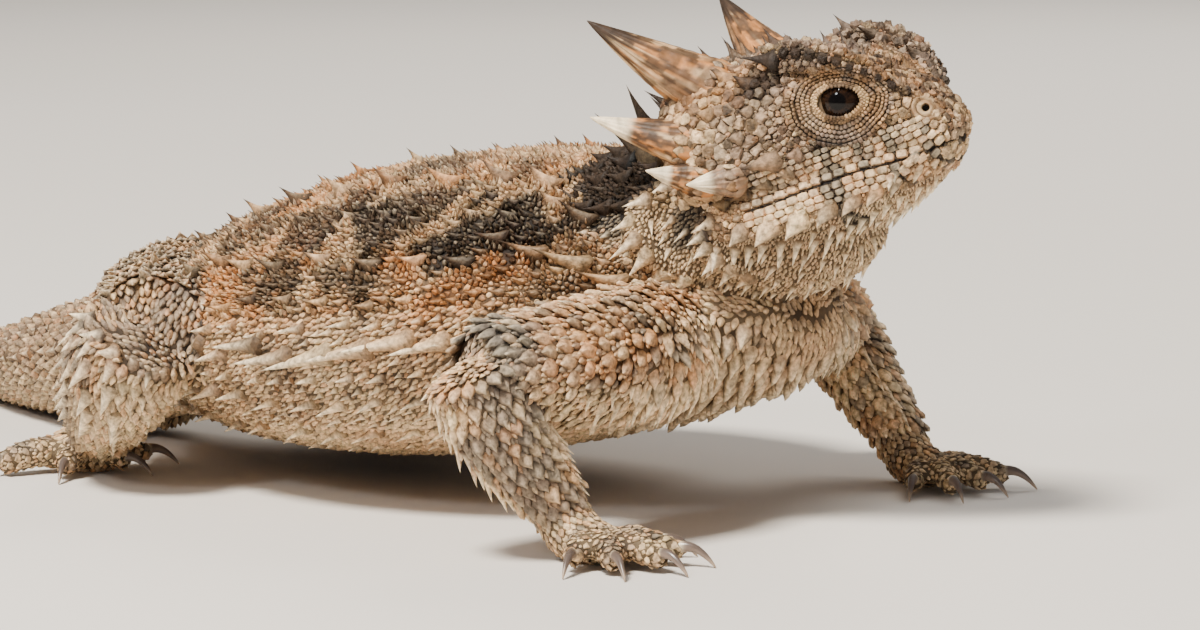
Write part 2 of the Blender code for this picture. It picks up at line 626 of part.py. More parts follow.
def build():
    body = new_collection("horned_lizard")
    lofts = {
        "head": Loft(CRANIUM, HEAD, power=(3.0, 4.0), upright=True),
        "jaw": Loft(JAW, HEAD, power=(3.2, 2.2), upright=True),
        "neck": Loft(NECK, upright=True),
        "torso": Loft(TRUNK, power=(2.15, 2.15), upright=True),
        "tail": Loft(TAIL),
    }
    limbs = limb_lofts()
    lofts.update(limbs)
    digits = digit_lofts(limbs)
    spines = Spines({**lofts, **{f"{node}_{n}": line for node, lines in digits.items()
                                 for n, line in enumerate(lines)}})
    detail = {"head": (15, 24), "jaw": (11, 20), "neck": (8, 18), "torso": (13, 26), "tail": (10, 12)}

    def base(node, grow=0.0):
        return lofts[node].mesh("grown" if grow else node, *detail.get(node, (6, 10)), grow=grow)

    def cutters(*nodes):
        return [base(node, GAP / MM) for node in nodes]

    sockets = []
    for side, sign in SIDES.items():
        at = mirrored(EYE_AT, sign)
        sockets.append(ball("socket", at, EYE_RADIUS + GAP / MM, 10, 7, HEAD))
        finish_node(f"eye_{side}", ball("eye", at, EYE_RADIUS, 10, 7, HEAD), [], [], "eye", body)
    horns = horn_meshes()
    pieces = head_pieces(spines, lofts["head"]) + lip_pieces(lofts["head"], UPPER_LIP)
    finish_node("head", base("head"), pieces, sockets + nostril_holes(lofts["head"]), "head_skin", body)
    pieces = spines.rows("jaw", CHIN_ROWS, CHIN_DROOP) + lip_pieces(lofts["jaw"], LOWER_LIP)
    finish_node("jaw", base("jaw"), pieces,
                cutters("head") + lip_pieces(lofts["head"], UPPER_LIP, GAP / MM), "head_skin", body)
    for name, horn in horns.items():
        finish_node(name, horn, [], cutters("head", "jaw"), "horn", body)
    finish_node("torso", base("torso"), spines.rows("torso", TRUNK_ROWS),
                cutters("head", "jaw") + [below_floor()], "trunk_skin", body)
    pieces = spines.rows("neck", NECK_ROWS) + fold_pieces(lofts["neck"])
    finish_node("neck", base("neck"), pieces, cutters("head", "jaw", "torso"), "trunk_skin", body)
    finish_node("tail", base("tail"), spines.rows("tail", TAIL_ROWS), cutters("torso") + [below_floor()],
                "trunk_skin", body)
    add_limbs(body, limbs, digits, spines, base, cutters)
    centre_on_floor(body)


def horn_meshes():
    made = {}
    turn = HEAD.to_3x3()
    for name, (root, lean, length, radius, bend) in HORNS.items():
        for side, sign in SIDES.items():
            made[f"{name}_{side}"] = bent_cone(name, HEAD @ mirrored(root, sign), turn @ mirrored(lean, sign),
                                               length, radius, bend, turn @ Vector((0, 0, 1)), 8, 5, sink=1.2)
    return made


def limb_lofts():
    """One loft for each length of each limb, named as its node."""
    made = {}
    left = {**FORE_LEFT, **{name: mirror_stations(rows) for name, rows in HIND_RIGHT.items()}}
    for side, parts in {"right": {**FORE_RIGHT, **HIND_RIGHT}, "left": left}.items():
        for name, stations in parts.items():
            flat = name in ("hand", "foot")
            made[f"{name}_{side}"] = Loft(stations, up=(0, 0, 1) if flat else (1, 0, 0))
    return made


def mirror_stations(rows):
    return tuple((x, -y, *rest) for x, y, *rest in rows)


def digit_lofts(limbs):
    """The digits of each hand and foot, by its node's name."""
    ends = {**DIGITS, "foot_left": mirror_stations(DIGITS["foot_right"])}
    return {node: [finger_loft(limbs[node], *end) for end in row] for node, row in ends.items()}


def add_limbs(body, limbs, digits, spines, base, cutters):
    above = None
    for node in limbs:
        name, side = node.rsplit("_", 1)
        cuts = cutters("torso")
        if name == "upper_arm":
            cuts += cutters("neck")
        elif name != "thigh":
            cuts += cutters(above)
        pieces, claws = [], []
        if name in LIMB_SCUTES:
            pieces = spines.scutes(node, *LIMB_SCUTES[name])
        if node in digits:
            cuts.append(below_floor())
            pieces = [finger.mesh("finger", 4, 5) for finger in digits[node]]
            claws = [claw_mesh(finger) for finger in digits[node]]
        finish_node(node, base(node), pieces, cuts, "limb_skin", body)
        for n, claw in enumerate(claws):
            around = digits[node][n].mesh("grown", 4, 5, grow=GAP / MM)
            finish_node(f"claw_{node}_{n + 1}", claw, [], [around, below_floor()], "claw", body)
        above = node


def finger_loft(palm, x, y, radius):
    """A digit from inside the palm over its knuckle to the floor."""
    tip = Vector((x, y, TOE_TIP_HEIGHT))
    start = Vector(palm.rows[1][:3]).lerp(Vector(palm.rows[2][:3]), 0.55)
    start.z = PALM_HEIGHT
    knuckle = start.lerp(tip, 0.6)
    knuckle.z = KNUCKLE_HEIGHT
    return Loft(((*start, radius * 1.1), (*start.lerp(knuckle, 0.6), radius * 1.05), (*knuckle, radius),
                 (*tip, radius * 0.82)))


def claw_mesh(finger):
    knuckle, tip = Vector(finger.rows[2][:3]), Vector(finger.rows[3][:3])
    out = tip - knuckle
    out = Vector((out.x, out.y, 0.1 * out.length)).normalized()
    root = tip + Vector((0, 0, CLAW_RISE)) - out * CLAW_SINK
    return bent_cone("claw", root, out, CLAW_LENGTH, CLAW_RADIUS, CLAW_HOOK, Vector((0, 0, -1)), 5, 4)


def centre_on_floor(body):
    """Hangs every node on one empty, which puts the origin under the middle of the whole box."""
    corners = np.array([v.co[:] for obj in body.objects for v in obj.data.vertices])
    middle = (corners.min(0) + corners.max(0)) / 2
    stand = new_object("horned_lizard_place", None, body)
    for obj in list(body.objects):
        if obj is not stand:
            obj.parent = stand
    stand.location = (-middle[0], -middle[1], -corners[:, 2].min())


clear_scene()
build()
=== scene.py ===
import math

import bpy
import numpy as np
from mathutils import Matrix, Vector
from mathutils.bvhtree import BVHTree
from mathutils.kdtree import KDTree


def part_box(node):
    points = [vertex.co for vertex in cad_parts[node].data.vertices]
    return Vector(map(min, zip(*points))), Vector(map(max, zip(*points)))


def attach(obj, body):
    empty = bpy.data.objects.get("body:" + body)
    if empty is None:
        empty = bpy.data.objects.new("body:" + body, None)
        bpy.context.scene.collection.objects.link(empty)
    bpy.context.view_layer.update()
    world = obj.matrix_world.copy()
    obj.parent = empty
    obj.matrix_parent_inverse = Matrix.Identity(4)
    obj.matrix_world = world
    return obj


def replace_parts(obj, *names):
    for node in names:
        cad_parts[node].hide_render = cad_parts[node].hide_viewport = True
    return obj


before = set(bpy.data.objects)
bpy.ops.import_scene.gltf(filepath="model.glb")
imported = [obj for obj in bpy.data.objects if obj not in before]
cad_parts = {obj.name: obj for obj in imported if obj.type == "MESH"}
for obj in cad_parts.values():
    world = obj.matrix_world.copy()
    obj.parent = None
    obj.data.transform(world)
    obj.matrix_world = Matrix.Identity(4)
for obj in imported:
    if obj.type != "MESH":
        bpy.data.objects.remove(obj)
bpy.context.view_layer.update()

# How the animal holds its head, and where it stands: the chest is raised, the head turned a little to
# its left. All that grows on it is drawn in millimetres round the trunk, and the right eye's place in
# the frame tells how far the drawing is shifted.
MM = 0.001
HEAD_BASE = np.array((16.3, -2.2, 30.85))
HEAD_YAW, HEAD_PITCH, HEAD_ROLL = 9.0, 8.4, 3.0
EYE_AT, EYE_RADIUS = np.array((13.9, 4.8, 3.8)), 2.4
SIDES = {"right": -1, "left": 1}


def turned(axis, degrees):
    c, s = math.cos(math.radians(degrees)), math.sin(math.radians(degrees))
    i, j = {"x": (1, 2), "y": (2, 0), "z": (0, 1)}[axis]
    made = np.eye(3)
    made[i, i] = made[j, j] = c
    made[i, j], made[j, i] = -s, s
    return made


HEAD_TURN = turned("z", HEAD_YAW) @ turned("y", -HEAD_PITCH) @ turned("x", HEAD_ROLL)


def from_head(places):
    return np.asarray(places, float) @ HEAD_TURN.T + HEAD_BASE


def to_head(places):
    return (np.asarray(places, float) - HEAD_BASE) @ HEAD_TURN


eye_low, eye_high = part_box("eye_right")
SHIFT = np.array(eye_low + eye_high) / 2 / MM - from_head(EYE_AT * (1, -1, 1))

# The view: from the animal's right front, hardly above its back, through a long lens that flattens the
# body and lets the head fill the upper right.
VIEW_AZIMUTH, VIEW_ELEVATION, VIEW_LENS = 40.0, 7.0, 147.42
VIEW_FROM = np.array((273.0, -325.8, 68.1))
camera = bpy.data.objects.new("camera", bpy.data.cameras.new("camera"))
bpy.context.scene.collection.objects.link(camera)
camera.location = (VIEW_FROM + SHIFT) * MM
camera.rotation_euler = (math.radians(90 - VIEW_ELEVATION), 0.0, math.radians(VIEW_AZIMUTH))
camera.data.lens = VIEW_LENS
camera.data.clip_start = 0.01
bpy.context.scene.camera = camera

# The body under its scales: trunk, neck, skull, jaw, tail and limbs are lengths of oval section, grown
# together into one skin that lies a scale's depth inside the solids.
# Stations run along each length: x, y, z, half width, rise above and drop below the centre.
TRUNK = (
    (-56.4, 0.9, 9.6, 9.0, 5.5, 8.2), (-48.0, 0.3, 11.2, 11.6, 6.6, 8.4), (-40.0, 0.0, 12.2, 16.2, 9.2, 9.4),
    (-30.0, 0.0, 13.0, 22.0, 12.5, 10.8), (-18.0, 0.0, 13.8, 25.6, 14.8, 11.4), (-6.0, 0.0, 15.0, 25.4, 15.2, 11.4),
    (4.0, 0.0, 16.4, 21.6, 13.6, 10.4), (12.0, 0.0, 17.2, 16.0, 9.8, 8.4), (18.0, 0.0, 17.2, 10.6, 5.4, 6.2),
    (22.0, 0.0, 17.4, 6.2, 2.6, 3.6),
)
NECK = (
    (3.0, -0.4, 22.0, 13.0, 8.2, 5.0), (9.0, -0.8, 23.4, 12.2, 8.6, 5.4), (15.0, -1.2, 24.6, 10.6, 8.6, 5.8),
    (20.0, -1.2, 24.8, 8.8, 7.0, 5.8), (25.0, -0.8, 24.6, 6.8, 4.6, 4.6), (28.6, -0.4, 25.2, 3.6, 2.2, 2.2),
)
TAIL = (
    (-56.0, 0.9, 9.4, 9.4, 5.8, 8.8), (-62.0, 1.8, 7.8, 8.0, 5.4, 7.6), (-70.0, 3.6, 6.2, 6.4, 4.8, 6.0),
    (-78.0, 5.8, 4.8, 5.0, 4.0, 4.8), (-86.0, 8.6, 3.5, 3.7, 3.1, 3.6), (-94.0, 12.0, 2.3, 2.4, 2.0, 2.4),
    (-101.0, 15.6, 1.3, 1.1, 1.0, 1.4),
)
CRANIUM = (
    (-2.4, 0.0, 2.0, 7.8, 5.0, 6.0), (0.6, 0.0, 1.8, 10.0, 6.3, 6.0), (4.0, 0.0, 1.6, 10.5, 6.6, 5.4),
    (8.0, 0.0, 1.6, 9.3, 6.7, 4.8), (11.6, 0.0, 1.6, 7.8, 6.6, 4.3), (15.0, 0.0, 1.6, 6.5, 5.6, 3.5),
    (18.0, 0.0, 1.5, 5.0, 3.7, 2.5), (20.0, 0.0, 1.1, 3.9, 2.4, 1.9), (21.3, 0.0, 0.6, 2.9, 1.3, 1.4),
)
JAW = (
    (1.8, 0.0, -5.2, 9.4, 3.0, 3.8), (4.4, 0.0, -5.0, 9.9, 3.0, 4.2), (7.6, 0.0, -4.5, 9.2, 3.0, 4.3),
    (11.0, 0.0, -3.9, 8.0, 2.9, 4.0), (15.0, 0.0, -3.0, 6.4, 2.8, 3.1), (18.0, 0.0, -2.0, 4.9, 2.2, 2.2),
    (20.0, 0.0, -1.4, 3.4, 1.5, 1.3), (21.0, 0.0, -1.1, 2.2, 0.9, 0.8),
)
# The brow's ledge over the eye: x, y, z and thickness
BROW = (
    (18.5, 3.4, 3.9, 0.6), (17.3, 4.5, 5.0, 0.8), (15.6, 5.5, 6.6, 0.95), (13.5, 6.2, 7.55, 1.05),
    (11.6, 6.5, 8.1, 1.1), (9.6, 6.5, 8.2, 1.15), (8.0, 6.3, 7.8, 1.0), (6.4, 6.0, 7.0, 0.8),
)
# Limbs, drawn for the right side: x, y, z and radius
FORE_RIGHT = {
    "upper_arm": ((11.0, -4.0, 15.4, 5.0), (15.6, -13.0, 15.6, 5.7), (16.2, -22.0, 15.5, 5.2), (14.2, -31.6, 15.0, 4.5)),
    "forearm": ((14.0, -33.0, 15.6, 4.2), (15.0, -31.6, 12.0, 4.2), (16.4, -29.2, 7.8, 3.4), (18.0, -27.0, 4.2, 2.5)),
    "hand": ((17.6, -27.0, 4.0, 2.4), (19.6, -26.8, 2.2, 2.5), (22.2, -26.8, 1.5, 2.1)),
}
FORE_LEFT = {
    "upper_arm": ((10.0, 4.0, 15.4, 5.0), (11.4, 12.0, 15.6, 5.2), (8.4, 19.6, 14.6, 4.6), (4.8, 25.0, 13.4, 4.0)),
    "forearm": ((4.4, 25.6, 13.6, 3.8), (7.4, 25.6, 10.6, 3.8), (11.4, 24.8, 6.6, 3.0), (14.8, 23.8, 3.8, 2.3)),
    "hand": ((14.4, 23.8, 3.6, 2.2), (16.6, 23.0, 2.1, 2.4), (19.2, 22.2, 1.5, 2.0)),
}
HIND_RIGHT = {
    "thigh": ((-44.0, -6.0, 12.8, 7.4), (-40.0, -14.0, 13.4, 6.8), (-34.0, -20.6, 13.8, 6.0), (-30.4, -25.0, 14.0, 5.6)),
    "shin": ((-30.2, -26.4, 14.2, 5.4), (-32.6, -26.2, 11.2, 5.4), (-37.8, -23.0, 7.4, 4.4), (-42.2, -19.6, 4.2, 3.1)),
    "foot": ((-42.0, -19.0, 4.0, 2.9), (-44.4, -18.6, 2.3, 2.9), (-46.6, -20.2, 1.5, 2.5)),
}
# Where each digit ends on the floor: x, y and the digit's radius
DIGITS = {
    "hand_right": ((24.6, -21.8, 1.15), (28.0, -23.7, 1.2), (28.8, -27.2, 1.25), (26.8, -30.6, 1.2), (23.4, -31.8, 1.1)),
    "hand_left": ((21.4, 16.6, 1.1), (24.6, 18.0, 1.2), (25.2, 21.8, 1.25), (24.8, 25.6, 1.2), (20.6, 27.2, 1.1)),
    "foot_right": ((-42.4, -13.8, 1.15), (-40.6, -18.4, 1.2), (-42.4, -24.2, 1.3), (-48.2, -26.4, 1.35),
                   (-51.8, -19.2, 1.15)),
}
# Loose folds down the side of the neck: share and angle on the neck, and thickness
NECK_FOLDS = (((0.44, 36, 0.6), (0.36, 12, 1.3), (0.40, -12, 1.4), (0.50, -34, 0.8)),
              ((0.62, 26, 0.5), (0.58, 4, 1.0), (0.62, -16, 1.1), (0.70, -34, 0.7)))
FORM_RINGS = 121
SKIN_DEPTH, VOXEL = 0.3, 0.40


def unit(ways):
    return ways / np.maximum(np.linalg.norm(ways, axis=-1, keepdims=True), 1e-9)


class Form:
    """One length of the body: oval stations joined by a smooth curve, measured in shares and degrees."""

    def __init__(self, stations, upper=2.0, lower=2.0, head=False, up=(0.0, 0.0, 1.0), upright=False):
        rows = np.array([row if len(row) == 6 else (*row, row[3], row[3]) for row in stations], float)
        place = np.linspace(0, 1, FORM_RINGS) * (len(rows) - 1)
        i = np.minimum(place.astype(int), len(rows) - 2)
        t = (place - i)[:, None]
        a, b, c, d = (rows[np.clip(i + k, 0, len(rows) - 1)] for k in (-1, 0, 1, 2))
        line = 0.5 * (2 * b + (c - a) * t + (2 * a - 5 * b + 4 * c - d) * t**2 + (3 * b - a - 3 * c + d) * t**3)
        along = unit(np.gradient(line[:, :3], axis=0))
        if upright:
            along = np.sign(along[:, :1]) * (1.0, 0.0, 0.0)
        side = unit(np.cross(up, along))
        over = np.cross(along, side)
        self.upper, self.lower = upper, lower
        parts = [from_head(line[:, :3]) if head else line[:, :3]]
        parts += [way @ HEAD_TURN.T if head else way for way in (along, side, over)]
        self.table = np.hstack((*parts, line[:, 3:]))
        self.length = np.linalg.norm(np.diff(line[:, :3], axis=0), axis=1).sum()

    def at(self, s, angle, grow=0.0):
        """Surface points, the angle turning from the left side over the top."""
        s, angle = np.broadcast_arrays(np.asarray(s, float), np.asarray(angle, float))
        place = np.clip(s, 0, 1) * (FORM_RINGS - 1)
        i = np.minimum(place.astype(int), FORM_RINGS - 2)
        t = (place - i)[..., None]
        row = self.table[i] * (1 - t) + self.table[i + 1] * t
        c, d = np.cos(np.radians(angle)), np.sin(np.radians(angle))
        power = 2.0 / np.where(d > 0, self.upper, self.lower)
        out = (row[..., 12] + grow) * np.sign(c) * np.abs(c) ** power
        high = (np.where(d > 0, row[..., 13], row[..., 14]) + grow) * np.sign(d) * np.abs(d) ** power
        return row[..., :3] + row[..., 6:9] * out[..., None] + row[..., 9:12] * high[..., None]

    def lie(self, s, angle):
        """Direction along the surface towards higher shares."""
        return unit(self.at(np.minimum(s + 0.02, 1), angle) - self.at(np.maximum(s - 0.02, 0), angle))

    def seek(self, places):
        """Shares, angles and depths below the surface of places near the form."""
        table = self.table[::3]
        found = np.empty((len(places), 3))
        for start in range(0, len(places), 20000):
            step = places[start:start + 20000, None] - table[None, :, :3]
            ahead = np.abs((step * table[:, 3:6]).sum(2)) + 0.12 * np.linalg.norm(step, axis=2)
            k = ahead.argmin(1)
            near = step[np.arange(len(k)), k]
            row = table[k]
            out, high = (near * row[:, 6:9]).sum(1), (near * row[:, 9:12]).sum(1)
            past = np.abs((near * row[:, 3:6]).sum(1))
            power = np.where(high > 0, self.upper, self.lower)
            across, tall = np.abs(out) / row[:, 12], np.abs(high) / np.where(high > 0, row[:, 13], row[:, 14])
            reach = (across**power + tall**power) ** (1 / power)
            angle = np.degrees(np.arctan2(np.sign(high) * tall ** (power / 2), np.sign(out) * across ** (power / 2)))
            depth = (1 - reach) * np.hypot(out, high) / np.maximum(reach, 0.05) - past
            found[start:start + 20000] = np.stack((k / (len(table) - 1), angle % 360, depth), 1)
        return found.T

    def grid(self, rings, sides, grow, cap=0.3):
        """The form as closed mesh rows: places and faces."""
        angles = np.arange(sides) * 360.0 / sides
        body = self.at(np.linspace(0, 1, rings)[:, None], angles[None], grow).reshape(-1, 3)
        ends = []
        for row, way in ((self.table[0], -1), (self.table[-1], 1)):
            reach = cap * min(row[12], row[13] + row[14]) + grow
            ends.append(row[:3] + row[3:6] * way * reach + row[9:12] * (row[13] - row[14]) * 0.4)
        faces = []
        for k in range(rings - 1):
            for n in range(sides):
                m = (n + 1) % sides
                faces.append((k * sides + n, k * sides + m, (k + 1) * sides + m, (k + 1) * sides + n))
        first, last = rings * sides, (rings - 1) * sides
        faces += [((n + 1) % sides, n, first) for n in range(sides)]
        faces += [(last + n, last + (n + 1) % sides, first + 1) for n in range(sides)]
        return np.vstack((body, ends)), faces


def mirrored(rows):
    return tuple((x, -y, *rest) for x, y, *rest in rows)


def finger_form(palm, x, y, radius):
    """A digit from inside the palm over its knuckle to the floor."""
    tip = np.array((x, y, 1.15))
    start = np.array(palm[1][:3]) * 0.45 + np.array(palm[2][:3]) * 0.55
    start[2] = 1.5
    knuckle = start * 0.4 + tip * 0.6
    knuckle[2] = 1.9
    between = start * 0.4 + knuckle * 0.6
    return Form(((*start, radius * 1.1), (*between, radius * 1.05), (*knuckle, radius), (*tip, radius * 0.82)))


forms = {
    "torso": Form(TRUNK, 2.15, 2.15, upright=True), "neck": Form(NECK, upright=True), "tail": Form(TAIL),
    "head": Form(CRANIUM, 3.0, 4.0, head=True, upright=True), "jaw": Form(JAW, 3.2, 2.2, head=True, upright=True),
}
limb_rows = {"right": {**FORE_RIGHT, **HIND_RIGHT},
             "left": {**FORE_LEFT, **{name: mirrored(rows) for name, rows in HIND_RIGHT.items()}}}
DIGITS["foot_left"] = mirrored(DIGITS["foot_right"])
for side, parts in limb_rows.items():
    for name, rows in parts.items():
        flat = name in ("hand", "foot")
        forms[f"{name}_{side}"] = Form(rows, up=(0, 0, 1) if flat else (1, 0, 0))
        if flat:
            for n, end in enumerate(DIGITS[f"{name}_{side}"]):
                forms[f"{name}_{side}_{n + 1}"] = finger_form(rows, *end)
ridges = {}
for side, sign in SIDES.items():
    ridges[f"brow_{side}"] = Form([(x, sign * y, z, r) for x, y, z, r in BROW], head=True)
    for n, fold in enumerate(NECK_FOLDS):
        line = [(*forms["neck"].at(s, angle if sign > 0 else 180 - angle), r) for s, angle, r in fold]
        ridges[f"fold_{side}_{n + 1}"] = Form(line)
form_names = list(forms)


def noise(places, grain, seed=0.0):
    """Smooth value noise from 0 to 1 whose lumps are grain millimetres across."""
    place = places / grain + seed * 17.31
    cell = np.floor(place)
    t = place - cell
    t = t * t * (3 - 2 * t)
    total = np.zeros(len(places))
    for corner in np.ndindex(2, 2, 2):
        hashed = np.sin((cell + corner) @ (127.1, 311.7, 74.7)) * 43758.5453
        total += np.where(corner, t, 1 - t).prod(1) * (hashed - np.floor(hashed))
    return total


def smooth(low, high, value):
    t = np.clip((value - low) / (high - low), 0, 1)
    return t * t * (3 - 2 * t)


def mixed(one, two, share):
    share = np.asarray(share)[..., None]
    return one * (1 - share) + np.asarray(two) * share


# Colours of the living skin, as linear light: sandy brown above with black blotches edged in cream, a
# black collar on the nape, pale below, and a grey-brown head barred under the eye.
SAND, RUST, SOOT = np.array((0.44, 0.255, 0.125)), np.array((0.42, 0.175, 0.055)), np.array((0.024, 0.015, 0.010))
CREAM, CHALK = np.array((0.62, 0.43, 0.24)), np.array((0.88, 0.73, 0.50))
ASH, BARK, SLATE = np.array((0.24, 0.17, 0.12)), np.array((0.10, 0.056, 0.031)), np.array((0.085, 0.068, 0.058))
# Blotches of the back: station share, degrees up from the side, half length and half height, strength
BLOTCHES = (
    (0.66, 38, 0.054, 15, 0.94), (0.54, 44, 0.042, 12, 0.88), (0.46, 44, 0.036, 13, 0.85), (0.45, 22, 0.028, 8, 0.85),
    (0.54, 21, 0.034, 8, 0.8), (0.37, 48, 0.034, 14, 0.8), (0.50, 74, 0.034, 8, 0.7), (0.28, 50, 0.030, 16, 0.75),
    (0.33, 24, 0.024, 8, 0.7), (0.20, 48, 0.024, 18, 0.7), (0.61, 68, 0.030, 8, 0.6), (0.40, 70, 0.024, 7, 0.5),
)
MOUTH = ((21.5, -0.4), (20.56, -0.88), (18.68, -1.37), (16.65, -1.7), (14.47, -1.95), (12.24, -2.53), (9.97, -3.01),
         (7.68, -3.61), (5.6, -4.0))  # x and z along the lips
LIP_LINE = (tuple(-x for x, _ in MOUTH), tuple(z for _, z in MOUTH))
HEAD_BARS = ((12.2, 1.05), (17.3, 0.42), (19.9, 0.36), (14.9, 0.26))  # across the lips: x and half width


def trunk_colours(s, up, places, normals):
    lumps, fine = noise(places, 4.6), noise(places, 1.5, 3)
    back = mixed(np.broadcast_to(SAND, places.shape), RUST, smooth(0.4, 0.72, lumps))
    back = mixed(back, BARK, 0.7 * smooth(0.52, 0.72, noise(places, 2.6, 7)))
    back = mixed(back, CREAM, 0.45 * smooth(0.62, 0.8, noise(places, 1.9, 11)))
    for at, high, long, tall, strength in BLOTCHES:
        far = np.hypot((s - at) / long, (up - high) / tall) + 1.0 * (noise(places, 2.4, 5) - 0.5) + 0.6 * (fine - 0.5)
        rim = smooth(1.75, 1.25, far) * smooth(at + 0.3 * long, at - 0.6 * long, s)
        back = mixed(back, CREAM, 0.4 * rim * strength)
        back = mixed(back, SOOT, smooth(1.2, 0.85, far) * strength)
    stripe = smooth(4.5, 2.0, np.abs(90 - up)) * smooth(0.8, 0.7, s)
    back = mixed(back, CREAM, 0.4 * stripe)
    sides = mixed(np.broadcast_to(CREAM * 0.88, places.shape), SAND, 0.7 * smooth(0.35, 0.7, lumps))
    sides = mixed(sides, SAND * 0.72, 0.6 * smooth(0.7, 0.78, s))
    sides = mixed(sides, BARK, 0.65 * smooth(0.6, 0.78, noise(places, 2.0, 9)) * smooth(-42, -12, up))
    return mixed(sides, back, smooth(2, 11, up + 8 * (lumps - 0.5)) * smooth(0.84, 0.74, s + 0.004 * (40 - up)))


def neck_colours(s, up, places, normals):
    lumps = noise(places, 3.0, 2)
    base = mixed(np.broadcast_to(CREAM * 0.72, places.shape), SAND * 0.75, 0.75 * lumps)
    collar = smooth(14, 27, up + 18 * (lumps - 0.5)) * smooth(0.66, 0.52, s)
    # A near-black band in the crease between the two neck folds: painted shade in that recess.
    painted_pocket_shade = smooth(0.06, 0.035, np.abs(s - 0.505 - 0.0008 * up)) * smooth(-14, -6, up)
    behind = smooth(0.36, 0.31, s) * smooth(-6, 8, up)
    return mixed(base, SOOT, np.maximum(0.97 * np.maximum(collar, behind), 0.93 * painted_pocket_shade))


def head_colours(s, up, places, normals):
    x, y, z = to_head(places).T
    lumps = noise(places, 2.8, 4)
    top = mixed(np.broadcast_to(ASH, places.shape), RUST * (0.9, 1.15, 1.5), 0.75 * smooth(0.45, 0.7, lumps))
    top = mixed(top, BARK, 0.7 * smooth(0.55, 0.75, noise(places, 1.7, 14)))
    cheek = mixed(np.broadcast_to(CREAM, places.shape), SAND, 0.85 * smooth(0.3, 0.8, lumps))
    cheek = mixed(cheek, ASH * 0.9, 0.75 * smooth(0.4, 0.7, noise(places, 2.0, 6)) * smooth(-3.5, -1, z))
    cheek = mixed(cheek, BARK, 0.6 * smooth(0.55, 0.7, noise(places, 1.3, 16)) * smooth(-2.5, -0.5, z) * smooth(13, 10, x))
    # Below the chin the colour turns a darker tan: partly the throat's own browner tan, partly painted shade under the
    # head.
    cheek = mixed(cheek, SAND * 0.53, 0.8 * smooth(-4.8, -6.2, z + 0.22 * (x - 8)))
    base = mixed(cheek, top, smooth(3.6, 6.0, z + 2.4 * smooth(15, 21, x)))
    to_mouth = np.abs(z - np.interp(-x, LIP_LINE[0], LIP_LINE[1]))
    lighter = 0.14 * smooth(8, 5, x) * smooth(-3, -1, z) + 0.14 * smooth(2.4, 1.4, to_mouth)
    darker = 0.15 * smooth(9, 12, x) * np.maximum(smooth(6, 4, z), smooth(16, 19, x)) * smooth(1.4, 2.4, to_mouth)
    base = base * (1 + lighter - darker)[:, None]
    # The near-black line along the mouth is painted shade in the slit between the lips.
    lips = smooth(0.24, 0.1, to_mouth) * smooth(5.2, 6.2, x)
    base = mixed(base, SOOT, lips)
    for at, half in HEAD_BARS:
        low = -6.2 if half > 0.5 else -3.2
        inside = smooth(half, 0.55 * half, np.abs(x - at + 0.12 * (z - 1)) + 0.7 * half * (noise(places, 1.1, 8) - 0.5))
        base = mixed(base, SOOT, 0.95 * inside * smooth(1.6, 0.8, z) * smooth(low - 0.5, low, z))
    behind = smooth(1.5, 0.8, np.hypot((x - 7.8) / 1.5, (z - 6.3) / 1.0)) * smooth(4.5, 6.0, np.abs(y))
    below = smooth(1.5, 0.9, np.hypot((x - 5.6) / 2.4, (z + 2.6) / 0.9)) * smooth(6.0, 7.5, np.abs(y))
    below = np.maximum(below, 1.5 * smooth(1.3, 0.8, np.hypot((x - 0.6) / 1.3, (z + 5.2) / 1.9)))
    return mixed(base, SOOT, np.maximum(0.85 * behind, 0.6 * below))


def limb_colours(s, up, places, normals):
    lumps = noise(places, 3.4, 8)
    above = mixed(np.broadcast_to(SAND, places.shape), RUST, 0.85 * smooth(0.45, 0.7, lumps))
    above = mixed(above, ASH, 0.8 * smooth(0.42, 0.62, noise(places * (1, 1, 1.3), 4.2, 12)))
    above = mixed(above, SLATE, 0.75 * smooth(0.58, 0.72, noise(places, 2.2, 15)))
    below = smooth(-0.5, -0.05, normals[:, 2] + 0.5 * (lumps - 0.5))
    return mixed(np.broadcast_to(CREAM, places.shape), above, below)


def arm_colours(s, up, places, normals):
    """The upper arm is orange tan above, dark over the elbow, and cream towards the chest and below."""
    base = limb_colours(s, up, places, normals)
    warm = mixed(np.broadcast_to(SAND, places.shape), RUST, 0.8 * smooth(0.35, 0.65, noise(places, 2.4, 21)))
    warm = mixed(warm, BARK, 0.7 * smooth(0.62, 0.75, noise(places, 1.8, 22)))
    base = mixed(base, warm, smooth(0.95, 0.8, s) * smooth(-0.3, 0.2, normals[:, 2]))
    pale = smooth(0.45, 0.3, s + 0.15 * (noise(places, 2.5, 23) - 0.5)) * smooth(0.75, 0.5, normals[:, 2])
    base = mixed(base, CREAM * 1.1, pale)
    return mixed(base, SLATE * 0.8, smooth(0.84, 0.9, s) * smooth(0.3, 0.6, normals[:, 2]))


def tail_colours(s, up, places, normals):
    lumps = noise(places, 3.0, 10)
    above = mixed(np.broadcast_to(SAND * 0.62, places.shape), ASH * 0.8, 0.6 * lumps)
    bars = smooth(0.2, 0.75, np.cos(2 * math.pi * (s * 8.5 + 0.2)) * 0.8 + lumps - 0.5)
    above = mixed(above, BARK, 0.85 * bars * smooth(8, 30, up))
    return mixed(np.broadcast_to(CREAM * 0.58, places.shape), above, smooth(-25, 5, up))


def hand_colours(s, up, places, normals):
    """Hands and feet are cream, with a little tan and slate above."""
    base = mixed(np.broadcast_to(CREAM * 0.78, places.shape), SAND * 0.85, 0.6 * smooth(0.4, 0.7, noise(places, 2.0, 26)))
    grey = smooth(0.5, 0.68, noise(places, 2.2, 27)) * smooth(0.1, 0.6, normals[:, 2])
    return mixed(base, SLATE * 1.3, 0.6 * grey)


